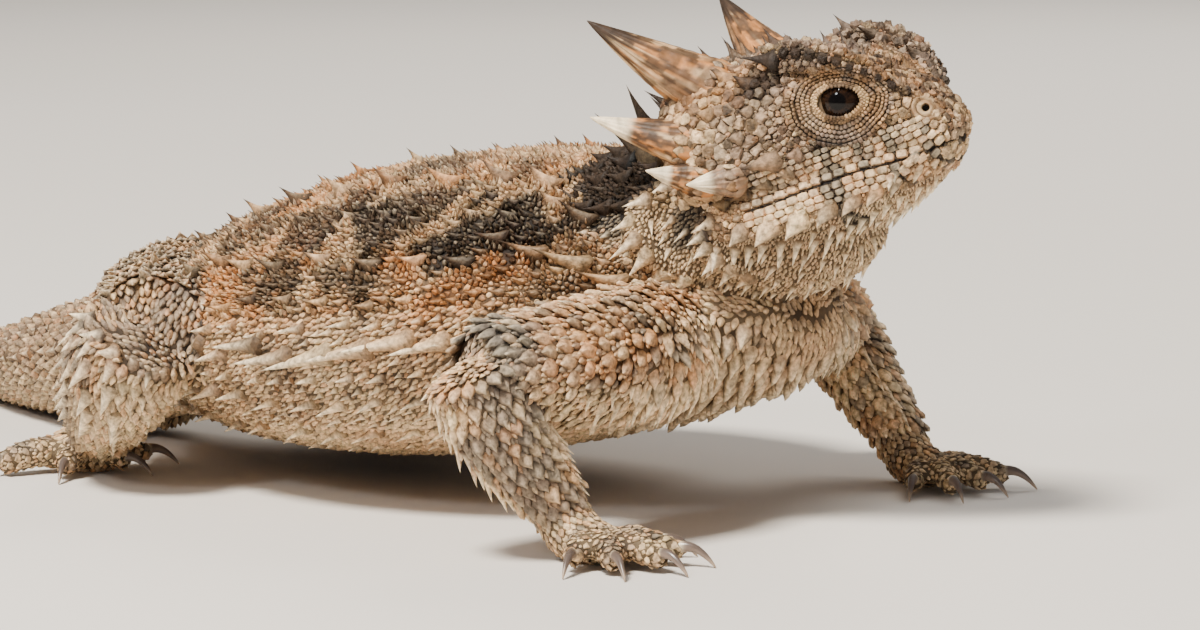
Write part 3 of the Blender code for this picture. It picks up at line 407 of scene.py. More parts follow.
def forearm_colours(s, up, places, normals):
    """The forearm is slate and ash in front, cream and orange behind and inside."""
    base = mixed(np.broadcast_to(CREAM * 1.1, places.shape), SAND * 1.15, 0.8 * smooth(0.35, 0.65, noise(places, 2.4, 28)))
    base = mixed(base, RUST * 1.1, 0.6 * smooth(0.55, 0.7, noise(places, 2.0, 29)))
    outward = np.sign(places[:, 1]) * normals[:, 1]
    dark = smooth(0.3, 0.65, 0.6 * normals[:, 0] + 0.6 * outward + 0.9 * (noise(places, 2.2, 30) - 0.5))
    return mixed(base, SLATE, 0.85 * dark)


def leg_colours(s, up, places, normals):
    """The hind legs are tan and rust, a little darkened, and dark brown behind: brown patches, with painted shade on
    the side turned from the light.
    """
    base = limb_colours(s, up, places, normals) * 0.78
    # Dark brown heaviest on the rear-facing side: painted shade on the side turned from the light, over noise patches.
    dark = smooth(0.28, 0.7, 0.5 * noise(places, 2.6, 31) - 0.6 * normals[:, 0])
    return mixed(base, BARK, 0.85 * dark)


COLOURING = {"torso": trunk_colours, "neck": neck_colours, "head": head_colours, "jaw": head_colours,
             "tail": tail_colours, "upper_arm_right": arm_colours, "upper_arm_left": arm_colours}
COLOURING.update({name: hand_colours for name in form_names if name.startswith(("hand", "foot"))})
COLOURING.update({"forearm_right": forearm_colours, "forearm_left": forearm_colours})
COLOURING.update({name: leg_colours for name in form_names if name.startswith(("thigh", "shin"))})


def colours_of(owner, s, angle, places, normals):
    """The marking at each place, given the number of the form that it lies on."""
    up = np.degrees(np.arcsin(np.clip(np.sin(np.radians(angle)), -1, 1)))
    found = np.zeros((len(places), 3))
    for n in np.unique(owner):
        here = owner == n
        shades = COLOURING.get(form_names[n], limb_colours)
        found[here] = shades(s[here], up[here], places[here], normals[here])
    return found


def new_mesh(name, places, faces):
    """A triangle mesh straight from arrays, in millimetres of the drawing."""
    mesh = bpy.data.meshes.new(name)
    mesh.vertices.add(len(places))
    mesh.vertices.foreach_set("co", ((places + SHIFT) * MM).astype(np.float32).ravel())
    mesh.loops.add(3 * len(faces))
    mesh.loops.foreach_set("vertex_index", np.asarray(faces, np.int32).ravel())
    mesh.polygons.add(len(faces))
    mesh.polygons.foreach_set("loop_start", np.arange(0, 3 * len(faces), 3, dtype=np.int32))
    mesh.update(calc_edges=True)
    mesh.shade_smooth()
    return mesh


def paint(mesh, colours):
    layer = mesh.color_attributes.new("marking", "FLOAT_COLOR", "POINT")
    layer.data.foreach_set("color", np.hstack((colours, np.ones((len(colours), 1)))).astype(np.float32).ravel())


def placed(name, mesh):
    made = bpy.data.objects.new(name, mesh)
    bpy.context.scene.collection.objects.link(made)
    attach(made, "root")
    return made


def horny_material(name, roughness, grain, bump, contrast, gloss=0.0, shine=0.25):
    """Skin, scale or horn: its marking, broken up by fine grain in colour, gloss and relief."""
    made = bpy.data.materials.new(name)
    made.use_nodes = True
    nodes, links = made.node_tree.nodes, made.node_tree.links
    shader = nodes["Principled BSDF"]
    shader.inputs["Specular IOR Level"].default_value = shine
    shader.inputs["Coat Weight"].default_value = gloss
    shader.inputs["Coat Roughness"].default_value = 0.2
    where = nodes.new("ShaderNodeTexCoord")
    marking = nodes.new("ShaderNodeAttribute")
    marking.attribute_name = "marking"
    fine = nodes.new("ShaderNodeTexNoise")
    fine.inputs["Scale"].default_value = grain
    fine.inputs["Detail"].default_value = 5.0
    links.new(where.outputs["Object"], fine.inputs["Vector"])
    spread = nodes.new("ShaderNodeMapRange")
    spread.inputs["From Min"].default_value = 0.3
    spread.inputs["From Max"].default_value = 0.7
    spread.inputs["To Min"].default_value = 1 - contrast
    spread.inputs["To Max"].default_value = 1 + contrast
    links.new(fine.outputs["Fac"], spread.inputs["Value"])
    tinted = nodes.new("ShaderNodeMix")
    tinted.data_type = "RGBA"
    tinted.blend_type = "MULTIPLY"
    tinted.inputs["Factor"].default_value = 1.0
    links.new(marking.outputs["Color"], tinted.inputs["A"])
    links.new(spread.outputs["Result"], tinted.inputs["B"])
    links.new(tinted.outputs["Result"], shader.inputs["Base Color"])
    rough = nodes.new("ShaderNodeMapRange")
    rough.inputs["To Min"].default_value = roughness - 0.12
    rough.inputs["To Max"].default_value = roughness + 0.12
    links.new(fine.outputs["Fac"], rough.inputs["Value"])
    links.new(rough.outputs["Result"], shader.inputs["Roughness"])
    pits = nodes.new("ShaderNodeTexNoise")
    pits.inputs["Scale"].default_value = grain * 2.4
    pits.inputs["Detail"].default_value = 3.0
    links.new(where.outputs["Object"], pits.inputs["Vector"])
    relief = nodes.new("ShaderNodeBump")
    relief.inputs["Strength"].default_value = 0.6
    relief.inputs["Distance"].default_value = bump
    links.new(pits.outputs["Fac"], relief.inputs["Height"])
    links.new(relief.outputs["Normal"], shader.inputs["Normal"])
    return made


def grown_together():
    """The forms as one smooth closed skin: places and triangles, in millimetres."""
    places, faces, count = [], [], 0
    for name, form in {**forms, **ridges}.items():
        small = name in ridges or name[-1].isdigit()
        rows, loops = form.grid(16 if small else 60, 14 if small else 56, -0.05 if small else -SKIN_DEPTH)
        places.append(rows)
        faces += [tuple(count + i for i in face) for face in loops]
        count += len(rows)
    mesh = bpy.data.meshes.new("body_forms")
    mesh.from_pydata(np.vstack(places).tolist(), [], faces)
    body = bpy.data.objects.new("body_forms", mesh)
    bpy.context.scene.collection.objects.link(body)
    remesh = body.modifiers.new("one skin", "REMESH")
    remesh.mode = "VOXEL"
    remesh.voxel_size = VOXEL
    soften = body.modifiers.new("soften", "SMOOTH")
    soften.factor = 0.5
    soften.iterations = 6
    bpy.context.view_layer.update()
    done = body.evaluated_get(bpy.context.evaluated_depsgraph_get()).to_mesh()
    done.calc_loop_triangles()
    co = np.empty(len(done.vertices) * 3, np.float32)
    tri = np.empty(len(done.loop_triangles) * 3, np.int32)
    done.vertices.foreach_get("co", co)
    done.loop_triangles.foreach_get("vertices", tri)
    bpy.data.objects.remove(body)
    bpy.data.meshes.remove(mesh)
    return co.reshape(-1, 3).astype(float), tri.reshape(-1, 3)


def vertex_normals(places, faces):
    corner = places[faces]
    flat = np.cross(corner[:, 1] - corner[:, 0], corner[:, 2] - corner[:, 0])
    made = np.zeros_like(places)
    for k in range(3):
        np.add.at(made, faces[:, k], flat)
    return unit(made)


def owners(places):
    """The form that each place lies on, or deepest in, with its share and angle there."""
    best = np.full(len(places), -1e9)
    owner, s, angle = np.zeros(len(places), int), np.zeros(len(places)), np.zeros(len(places))
    for n, form in enumerate(forms.values()):
        share, turn, depth = form.seek(places)
        closer = depth > best
        best[closer], owner[closer], s[closer], angle[closer] = depth[closer], n, share[closer], turn[closer]
    return owner, s, angle


skin_places, skin_faces = grown_together()
skin_normals = vertex_normals(skin_places, skin_faces)
skin_places += skin_normals * (0.25 * (noise(skin_places, 4.0, 20) - 0.5))[:, None]
NOSTRIL_AT = np.array((20.35, 2.6, 2.6))
for sign in SIDES.values():
    far = np.linalg.norm(to_head(skin_places) - NOSTRIL_AT * (1, sign, 1), axis=1)
    skin_places -= skin_normals * (0.7 * smooth(1.1, 0.4, far))[:, None]
skin_places[:, 2] = np.maximum(skin_places[:, 2], 0.12)
skin_normals = vertex_normals(skin_places, skin_faces)
skin_owner, skin_s, skin_angle = owners(skin_places)
skin_tree = BVHTree.FromPolygons(skin_places.tolist(), skin_faces.tolist())
skin_mesh = new_mesh("skin", skin_places, skin_faces)
# The skin shows only in the gaps between scales and is painted at a fifth of its marking: painted shade in the grooves
# between scales.
paint(skin_mesh, 0.22 * colours_of(skin_owner, skin_s, skin_angle, skin_places, skin_normals))
skin_mesh.materials.append(horny_material("skin between scales", 0.75, 1500.0, 0.00008, 0.3))
skin = placed("skin", skin_mesh)
FLESH = ["head", "jaw", "neck", "torso", "tail"] + [f"{name}_{side}" for side in SIDES for name in limb_rows[side]]
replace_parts(skin, *FLESH)

# Roots of scales. Each scale grows from one root on the skin and takes the room that its neighbours
# leave, so the roots are set in one list, the largest first, and the small ones fill in round them.
rng = np.random.default_rng(17)
face_middle = skin_places[skin_faces].mean(1)
face_owner, face_s, face_angle = (values[skin_faces[:, 0]] for values in (skin_owner, skin_s, skin_angle))
face_up = np.degrees(np.arcsin(np.sin(np.radians(face_angle))))
face_head = to_head(face_middle)
face_size = np.linalg.norm(np.cross(skin_places[skin_faces[:, 1]] - skin_places[skin_faces[:, 0]],
                                    skin_places[skin_faces[:, 2]] - skin_places[skin_faces[:, 0]]), axis=1) / 2


class Seeds:
    """Roots of scales: places, outward and backward directions, sizes, and where they lie on a form."""

    FIELDS = ("place", "normal", "lie", "size", "owner", "s", "angle")

    def __init__(self, **fields):
        self.__dict__.update(fields)

    def __len__(self):
        return len(self.place)

    def pick(self, chosen):
        return Seeds(**{name: getattr(self, name)[chosen] for name in self.FIELDS})

    def lay(self, way):
        """Turns the scales to lie along a direction or directions."""
        way = np.broadcast_to(way, self.place.shape)
        self.lie = unit(way - self.normal * (way * self.normal).sum(1)[:, None])
        return self

    @staticmethod
    def joined(groups):
        return Seeds(**{name: np.concatenate([getattr(one, name) for one in groups]) for name in Seeds.FIELDS})


taken = []  # every root set so far


def claim(seeds):
    taken.append(seeds)
    return seeds


def tree_of(places):
    tree = KDTree(max(len(places), 1))
    for n, place in enumerate(places.tolist()):
        tree.insert(place, n)
    tree.balance()
    return tree


def settle(places, lies, sizes, owner=None, s=None, angle=None, furthest=1.4):
    """Seeds dropped on the nearest skin, leaving out those that start too far from it."""
    hits = [skin_tree.find_nearest(Vector(place)) for place in places]
    found = np.array([hit[0][:] for hit in hits])
    face = skin_faces[[hit[2] for hit in hits]]
    weight = 1 / (np.linalg.norm(skin_places[face] - found[:, None], axis=2) + 0.02)
    normal = unit((skin_normals[face] * weight[..., None]).sum(1))
    if owner is None:
        nearest = face[np.arange(len(face)), weight.argmax(1)]
        owner, s, angle = skin_owner[nearest], skin_s[nearest], skin_angle[nearest]
    seeds = Seeds(place=found, normal=normal, lie=lies, size=np.broadcast_to(sizes, len(found)).astype(float),
                  owner=np.broadcast_to(owner, len(found)).copy(), s=s, angle=angle)
    return seeds.lay(lies).pick(np.linalg.norm(found - places, axis=1) < furthest)


def exposed(name, places, margin=0.0):
    """Which places lie outside every other form."""
    clear = np.ones(len(places), bool)
    for other, form in forms.items():
        if other != name:
            clear &= form.seek(places)[2] < margin
    return clear


def free(seeds, share=0.8):
    """The seeds that keep clear of every root set before, and of each other."""
    before = Seeds.joined(taken) if taken else None
    tree = tree_of(before.place) if taken else None
    largest = before.size.max() if taken else 0.0
    cell, kept = {}, []
    sizes = seeds.size.tolist()
    for n, place in enumerate(seeds.place.tolist()):
        size = sizes[n]
        if tree and any(far < share * (size + before.size[i]) for _, i, far in tree.find_range(place, share * (size + largest))):
            continue
        home = tuple(int(v // 1.5) for v in place)
        clash = False
        for dx in (-1, 0, 1):
            for dy in (-1, 0, 1):
                for dz in (-1, 0, 1):
                    for other, room in cell.get((home[0] + dx, home[1] + dy, home[2] + dz), ()):
                        if math.dist(other, place) < share * (size + room):
                            clash = True
                            break
                    if clash:
                        break
                if clash:
                    break
            if clash:
                break
        if not clash:
            cell.setdefault(home, []).append((place, size))
            kept.append(n)
    return seeds.pick(np.array(kept, int))


def rings_on(name, span, arc, along, around, jitter=0.12):
    """Shares and angles of staggered rings of roots, evenly spaced over a form's surface."""
    form = forms[name]
    step = along / form.length
    shares, angles = [], []
    for k, s in enumerate(np.arange(span[0], span[1], step)):
        fan = np.linspace(arc[0], arc[1], 181)
        road = np.concatenate(([0], np.cumsum(np.linalg.norm(np.diff(form.at(s, fan), axis=0), axis=1))))
        count = max(int(road[-1] / around), 1)
        stops = (np.arange(count) + 0.25 + 0.5 * (k % 2)) / count * road[-1]
        stops += rng.uniform(-jitter, jitter, count) * around
        angles.append(np.interp(stops, road, fan))
        shares.append(s + rng.uniform(-jitter, jitter, count) * step)
    return np.concatenate(shares), np.concatenate(angles)


def grow_rings(name, span, arc, along, around, size, back=-1.0, jitter=0.12):
    """Seeds in rings round a form, clear of the other forms and of the roots set before."""
    s, angle = rings_on(name, span, arc, along, around, jitter)
    places = forms[name].at(s, angle, -SKIN_DEPTH)
    seen = exposed(name, places)
    s, angle, places = s[seen], angle[seen], places[seen]
    sizes = rng.uniform(size[0], size[1], len(s)) if isinstance(size, tuple) else size
    return claim(free(settle(places, forms[name].lie(s, angle) * back, sizes, form_names.index(name), s, angle)))


def fill(chosen, size, back=-1.0, guide=None, way=None, share=0.8, keep=None):
    """Roots thrown at random over the chosen skin faces until the room between the others is filled."""
    index = np.flatnonzero(chosen)
    sizes = np.broadcast_to(size, len(face_owner))[index]
    count = int((face_size[index] / sizes**2).sum() * 2.2)
    odds = face_size[index] / sizes**2
    pick = index[rng.choice(len(index), count, p=odds / odds.sum())]
    share_out = rng.dirichlet((1, 1, 1), count)
    corner = skin_faces[pick]
    places = (skin_places[corner] * share_out[..., None]).sum(1)
    normal = unit((skin_normals[corner] * share_out[..., None]).sum(1))
    room = np.broadcast_to(size, len(face_owner))[pick] * rng.uniform(0.82, 1.12, count)
    near = corner[np.arange(count), share_out.argmax(1)]
    seeds = Seeds(place=places, normal=normal, lie=normal, size=room, owner=skin_owner[near], s=skin_s[near],
                  angle=skin_angle[near])
    if keep is not None:
        seeds = seeds.pick(keep(seeds))
    seeds = free(seeds, share)
    if not len(seeds):
        return seeds
    if guide is not None:
        tree = tree_of(guide.place)
        ways = np.array([guide.lie[[hit[1] for hit in tree.find_n(place, 3)]].sum(0) for place in seeds.place.tolist()])
    elif way is not None:
        ways = np.asarray(way, float)
    else:
        ways = np.zeros_like(seeds.place)
        for n in np.unique(seeds.owner):
            here = seeds.owner == n
            ways[here] = forms[form_names[n]].lie(seeds.s[here], seeds.angle[here]) * back
    return claim(seeds.lay(ways))


# The scales' own shapes: cobbles that fill the room between neighbours, leaves that overlap like tiles
# with a keel and a sharp tip, and thorns, which are leaves grown into curved keeled spines.
class Shapes:
    """Places, triangles, painted shade and light, paleness and root of everything grown so far in one coat."""

    def __init__(self):
        self.places, self.faces, self.shades, self.pales, self.patches, self.roots = [], [], [], [], [], []
        self.rounded, self.count = [], 0

    def add(self, places, faces, shade, pale, patch, seeds, tone, rounded=False):
        """places is scales x points x 3; faces index one scale's points; shade is painted shade and light; pale below 0
        is dark horn.
        """
        number, points = places.shape[:2]
        self.places.append(places.reshape(-1, 3))
        starts = self.count + np.arange(number)[:, None, None] * points
        self.faces.append((np.asarray(faces)[None] + starts).reshape(-1, 3))
        tone = np.ones(number) if tone is None else tone
        self.shades.append((np.broadcast_to(shade, (number, points)) * tone[:, None]).ravel())
        self.pales.append(np.broadcast_to(pale, (number, points)).ravel())
        self.patches.append(np.broadcast_to(patch, (number, points, 2)).reshape(-1, 2))
        self.roots.append((seeds, points))
        self.rounded.append(np.full(number * len(faces), rounded))
        self.count += number * points


def ring_faces(rings, sides, tip, bottom=True):
    """Triangles of stacked rings of points that end in one tip point."""
    faces = []
    for k in range(rings - 1):
        for n in range(sides):
            m = (n + 1) % sides
            a, b, c, d = k * sides + n, k * sides + m, (k + 1) * sides + m, (k + 1) * sides + n
            faces += [(a, b, c), (a, c, d)]
    last = (rings - 1) * sides
    faces += [(last + n, last + (n + 1) % sides, tip) for n in range(sides)]
    if bottom:
        faces += [(0, n + 1, n) for n in range(1, sides - 1)]
    return faces


# The third number is painted shade and light: dark at the scale's foot, where shade falls between scales, lighter
# towards its top.
CONE = ((1.0, -0.35, 0.42), (0.84, 0.42, 0.95))  # share of the reach, share of the height, shade
PLATE = ((1.0, -0.35, 0.42), (0.96, 0.45, 0.82), (0.66, 0.9, 1.02))


def cobbles(shapes, seeds, height, lean=0.2, sides=8, cap=1.6, groove=0.05, tone=None, profile=CONE, pale=0.0,
            top=1.12, among=None, box=None, rough=0.12):
    """Domed scales cut to the room between their neighbours, the crown leaning back; the profile's shades and top are
    painted shade and light.
    """
    if not len(seeds):
        return
    everyone = Seeds.joined(among or taken)
    tree = tree_of(everyone.place)
    near = np.array([[hit[1] for hit in tree.find_n(place, 12)] for place in seeds.place.tolist()])
    away = everyone.place[near] - seeds.place[:, None]
    lie, across, normal = seeds.lie, np.cross(seeds.normal, seeds.lie), seeds.normal
    x, y = (away * lie[:, None]).sum(2), (away * across[:, None]).sum(2)
    far = np.hypot(x, y)
    share = seeds.size[:, None] / (seeds.size[:, None] + everyone.size[near])
    theta = 2 * math.pi * (np.arange(sides) + 0.5) / sides
    facing = np.cos(theta[None, None] - np.arctan2(y, x)[..., None])
    bound = (facing > 0.15) & (far > 0.05)[..., None]
    limit = np.where(bound, (far * share)[..., None] / np.maximum(facing, 0.15), 9.0).min(1)
    reach = np.maximum(np.minimum(limit - groove, cap * seeds.size[:, None]), 0.25 * seeds.size[:, None])
    if box is not None:
        long, wide = (np.broadcast_to(value, len(seeds))[:, None] for value in box)
        reach = (np.abs(np.cos(theta) / long) ** 6 + np.abs(np.sin(theta) / wide) ** 6) ** (-1 / 6)
    height = np.broadcast_to(height, len(seeds))[:, None]
    lean = np.broadcast_to(lean, len(seeds))[:, None]
    points, shade, patch = [], [], []
    for share_out, level, light in profile:
        drift = lean * max(level, 0) * 0.7 * seeds.size[:, None]
        uneven = 1 + rng.uniform(-rough, rough, reach.shape) * (level > 0)
        dx, dy = reach * share_out * uneven * np.cos(theta) + drift, reach * share_out * uneven * np.sin(theta)
        level = level * (1 + rng.uniform(-1.5, 1.5, reach.shape) * rough * (level > 0))
        points.append(seeds.place[:, None] + dx[..., None] * lie[:, None] + dy[..., None] * across[:, None]
                      + (height * level)[..., None] * normal[:, None])
        shade += [light] * sides
        patch += [(math.cos(a) * share_out, math.sin(a) * share_out) for a in theta]
    crown = seeds.place + lie * lean * seeds.size[:, None] + normal * height
    places = np.concatenate((*points, crown[:, None]), 1)
    pales = np.zeros((len(seeds), len(shade) + 1))
    pales[:, sides * min(2, len(profile)):] = np.broadcast_to(pale, len(seeds))[:, None]
    shapes.add(places, ring_faces(len(profile), sides, len(profile) * sides), [*shade, top], pales,
               [*patch, (0.0, 0.0)], seeds, tone)


# Share along, half width, keel height
LEAF = ((0.0, 0.5, 0.0), (0.3, 0.95, 0.6), (0.6, 0.9, 1.0), (0.82, 0.48, 0.8))
SPIKED_LEAF = ((0.0, 0.5, 0.0), (0.22, 0.92, 0.5), (0.46, 1.0, 0.9), (0.66, 0.72, 1.0), (0.83, 0.3, 0.9))


def leaves(shapes, seeds, length, half, stand, keel=0.16, tone=None, outline=LEAF, pale=0.25):
    """Overlapping pointed scales with a raised keel, standing off the skin by stand degrees."""
    if not len(seeds):
        return
    lie, across, normal = seeds.lie, np.cross(seeds.normal, seeds.lie), seeds.normal
    length, half = (np.broadcast_to(value, len(seeds))[:, None] for value in (length, half))
    swing = np.radians(np.broadcast_to(stand, len(seeds)) + rng.uniform(-3, 3, len(seeds)))[:, None]
    out = lie * np.cos(swing) + normal * np.sin(swing)
    over = normal * np.cos(swing) - lie * np.sin(swing)
    base = seeds.place - out * length * 0.3 - normal * 0.08
    points, shade, pales, patch = [], [], [], []
    for t, wide, ridge in outline:
        spine = base + out * length * t - over * length * 0.06 * t * t
        rise = keel * length * ridge * 0.5 + 0.05
        # Each column's third number is painted shade and light: dark at the rims, where shade falls under the
        # neighbours, lightest on the keel, and lighter towards the tip.
        for aside, lift, light, white in ((-1, -0.1, 0.28, 0.3), (-0.6, 0.42, 0.8, 0.6), (0, 1, 1.0, 1), (0.6, 0.42, 0.8, 0.6),
                                          (1, -0.1, 0.28, 0.3)):
            points.append(spine + across * half * wide * aside + over * rise * lift)
            shade.append(light + 0.28 * t)
            pales.append(pale * t * t * white)
            patch.append((t - 0.5, 0.5 * wide * aside))
    points.append(base + out * length)
    faces = []
    for k in range(len(outline) - 1):
        a, b = 5 * k, 5 * k + 5
        for n in range(4):
            faces += [(a + n, b + n + 1, a + n + 1), (a + n, b + n, b + n + 1)]
        faces += [(a, b + 4, b), (a, a + 4, b + 4)]
    a, tip = 5 * len(outline) - 5, 5 * len(outline)
    faces += [(a + n, tip, a + n + 1) for n in range(4)]
    faces += [(a, a + 4, tip), (0, 1, 2), (0, 2, 3), (0, 3, 4)]
    shapes.add(np.stack(points, 1), faces, [*shade, 1.2], [*pales, pale], [*patch, (0.5, 0.0)], seeds, tone, rounded=True)


def thorns(shapes, seeds, length, half, stand, flat=(1.3, 0.8), hook=0.5, tone=None, sides=8, rings=7, edge=0.6,
           tip=-0.3, body=0.0, slim=1.25):
    """Curved keeled spines on a broad root; edge, tip and body say how pale the keel, point and whole are; the pale
    upper keel is partly painted highlight.
    """
    if not len(seeds):
        return
    lie, across, normal = seeds.lie, np.cross(seeds.normal, seeds.lie), seeds.normal
    length, half = (np.broadcast_to(value, len(seeds))[:, None] for value in (length, half))
    swing = np.radians(np.broadcast_to(stand, len(seeds)) + rng.uniform(-5, 5, len(seeds)))[:, None]
    sway = across * rng.uniform(-0.1, 0.1, (len(seeds), 1))
    centre = seeds.place - normal * half * 0.4
    points, shade, pales, patch = [], [], [], []
    for k in range(-1, rings + 1):
        t = max(k, 0) / rings
        bent = swing * (1 - hook * t)
        out = lie * np.cos(bent) + normal * np.sin(bent) + sway
        over = normal * np.cos(bent) - lie * np.sin(bent)
        if k == rings:
            points.append(centre)
            continue
        thin = (1 - t) ** slim * (0.8 + 0.5 * (1 - t) ** 4) * (0.5 if k < 0 else 1.0)
        heart = centre - out * half * 0.6 * (k < 0)
        late = smooth(0.45, 0.85, t)
        deep = flat[0] + (flat[1] - flat[0]) * min(1.6 * t, 1)
        for n in range(sides):
            a = 2 * math.pi * n / sides
            keel = 1 + 0.35 * max(math.cos(a), 0) ** 6
            points.append(heart + across * half * thin * math.sin(a) + over * half * thin * deep * math.cos(a) * keel)
            # Painted shade and light: dark at the root, lighter towards the point, and lighter on the upper side than
            # on the under side.
            shade.append((0.55 + 0.6 * min(2 * t, 1)) * (0.85 + 0.2 * math.cos(a)))
            # The keel's upper edge is paled: partly the spine's own pale edge, partly painted highlight.
            pales.append((body + edge * max(math.cos(a), 0) ** 4) * min(2.5 * t, 1) * (1 - late) + tip * late)
            patch.append((t * math.cos(a), t * math.sin(a)))
        centre = centre + out * length / rings * (k >= 0)
    faces = [(a, c, b) for a, b, c in ring_faces(rings + 1, sides, (rings + 1) * sides)]
    shapes.add(np.stack(points, 1), faces, [*shade, 1.15], [*pales, tip], [*patch, (0.0, 0.0)], seeds, tone, rounded=True)


def grow_rows(name, rows, room=0.85, back=-1.0, way=(0.0, 0.0, 0.0), bare=0.2, sign_only=0):
    """Seeds of rows of thorns down the sides of a form, with each one's length, half width and stand."""
    groups, measures = [], []
    for first, last, start, end, count, length, half, stand in rows:
        for sign in SIDES.values():
            if sign_only and sign != sign_only:
                continue
            t = (np.arange(count) + 0.25 * (1 + sign)) / max(count - 0.5, 1) + rng.uniform(-0.012, 0.012, count)
            s = first + (last - first) * t
            angle = start + (end - start) * t + rng.uniform(-2, 2, count)
            angle = 180 - angle if (sign > 0) == bool(sign_only) else angle
            places = forms[name].at(s, angle, -SKIN_DEPTH)
            seen = exposed(name, places, bare)
            s, angle, places, t = s[seen], angle[seen], places[seen], t[seen]
            if not len(s):
                continue
            seeds = settle(places, forms[name].lie(s, angle) * back + way, half * room, form_names.index(name), s,
                           angle, furthest=9.0)
            vary = rng.uniform(0.78, 1.12, len(s)) * (0.72 + 0.28 * np.sin(math.pi * np.clip(t, 0, 1)))
            groups.append(seeds)
            measures.append(np.stack((length * vary, half * (0.6 + 0.4 * vary), np.full(len(s), stand)), 1))
    return claim(Seeds.joined(groups)), np.vstack(measures).T


PATCH = 0.003  # width of each scale's place on the OFBake map
scale_gloss = horny_material("keeled scale", 0.6, 2200.0, 0.00018, 0.55)


def coat_piece(name, shapes, material=scale_gloss, speckle=0.16, tint=None):
    """One coat as an object: every scale painted with the skin's marking at its root, times its shape's painted shade
    and light.
    """
    places, faces = np.vstack(shapes.places), np.vstack(shapes.faces)
    seeds = Seeds.joined([one for one, _ in shapes.roots])
    points = np.concatenate([np.full(len(one), number) for one, number in shapes.roots])
    marking = colours_of(seeds.owner, seeds.s, seeds.angle, seeds.place, seeds.normal)
    if tint is not None:
        marking = tint(seeds, marking)
    marking = marking * (1 + rng.uniform(-speckle, speckle, (len(seeds), 1)) + rng.uniform(-0.03, 0.03, (len(seeds), 3)))
    # The marking is multiplied by the shapes' painted shade and light.
    colours = np.repeat(marking, points, 0) * np.concatenate(shapes.shades)[:, None]
    pales = np.concatenate(shapes.pales)
    colours = mixed(mixed(colours, CHALK, np.clip(pales, 0, 1)), SOOT, np.clip(-pales, 0, 1))
    places[:, 2] = np.maximum(places[:, 2], 0.02)
    mesh = new_mesh(name, places, faces)
    paint(mesh, np.clip(colours, 0.004, 0.92))
    used = np.unique(seeds.owner)
    row = np.searchsorted(used, seeds.owner)
    down = (row + 0.04 + 0.92 * (seeds.angle % 360) / 360) / len(used)
    flat = np.repeat(np.stack((0.02 + 0.96 * seeds.s, down), 1), points, 0) + np.vstack(shapes.patches) * PATCH / 2
    chart = mesh.uv_layers.new(name="OFBake")
    chart.data.foreach_set("uv", flat[faces.ravel()].astype(np.float32).ravel())
    mesh.polygons.foreach_set("use_smooth", np.concatenate(shapes.rounded))
    mesh.materials.append(material)
    print("PIECE", name, len(seeds), "scales", len(faces), "triangles")
    return placed(name, mesh)


def on(*names):
    """Skin faces that belong to the named forms."""
    return np.isin(face_owner, [form_names.index(name) for name in names])

# The eyes: round wet balls, dark brown round a black pupil, that look out sideways and a little
# forward from between thick lids.
EYE_OPENING = (1.78, 1.2)
ORBIT_REACH = (4.4, 3.45)
wet_eye = horny_material("wet eye", 0.06, 900.0, 0.000001, 0.12, shine=0.2)


def eye_axes(sign):
    """The ball's centre, its gaze, and the ways along and up the lids, in the head's own frame."""
    gaze = unit(np.array((0.20, sign * 0.97, 0.10)))
    forward = unit(np.array((1.0, 0.0, 0.0)) - gaze * gaze[0])
    upward = np.cross(gaze, forward) * (1 if np.cross(gaze, forward)[2] > 0 else -1)
    return EYE_AT * (1, sign, 1), gaze, forward, upward


def rings_to_mesh(loops, ends=(True, True)):
    """Joins equal loops of points into one skin, closing the chosen ends."""
    rings, sides = loops.shape[:2]
    places = loops.reshape(-1, 3)
    faces = []
    for k in range(rings - 1):
        for n in range(sides):
            m = (n + 1) % sides
            a, b, c, d = k * sides + n, k * sides + m, (k + 1) * sides + m, (k + 1) * sides + n
            faces += [(a, b, c), (a, c, d)]
    if ends[0]:
        faces += [(0, n + 1, n) for n in range(1, sides - 1)]
    if ends[1]:
        last = (rings - 1) * sides
        faces += [(last, last + n, last + n + 1) for n in range(1, sides - 1)]
    return places, np.array(faces)


for side, sign in SIDES.items():
    centre, gaze, forward, upward = eye_axes(sign)
    turn = np.linspace(0.01, math.pi - 0.01, 49)[::-1, None]
    round_about = np.linspace(0, 2 * math.pi, 48, endpoint=False)[None] * sign
    bulge = EYE_RADIUS * (1 + 0.035 * smooth(0.75, 0.35, turn))
    loops = (gaze * (bulge * np.cos(turn) * np.ones_like(round_about))[..., None]
             + forward * (bulge * np.sin(turn) * np.cos(round_about))[..., None]
             + upward * (bulge * np.sin(turn) * np.sin(round_about))[..., None])
    places, faces = rings_to_mesh(from_head(centre + loops))
    off = np.degrees(np.broadcast_to(turn, loops.shape[:2])).ravel()
    about = np.broadcast_to(round_about, loops.shape[:2]).ravel()
    streaks = noise(np.stack((np.cos(about) * 6, np.sin(about) * 6, off * 0.04), 1), 0.5, 2)
    iris = mixed(np.tile((0.006, 0.003, 0.002), (len(off), 1)), (0.020, 0.009, 0.004), smooth(0.3, 0.8, streaks))
    iris = mixed(iris, (0.06, 0.03, 0.014), 0.5 * smooth(19.5, 18, off))
    ball = mixed(iris, (0.002, 0.0015, 0.0015), smooth(19.0, 17.0, off))
    ball = mixed(ball, (0.008, 0.005, 0.004), smooth(39, 45, off))
    mesh = new_mesh(f"eyeball_{side}", places, faces)
    paint(mesh, ball)
    mesh.materials.append(wet_eye)
    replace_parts(placed(f"eyeball_{side}", mesh), f"eye_{side}")


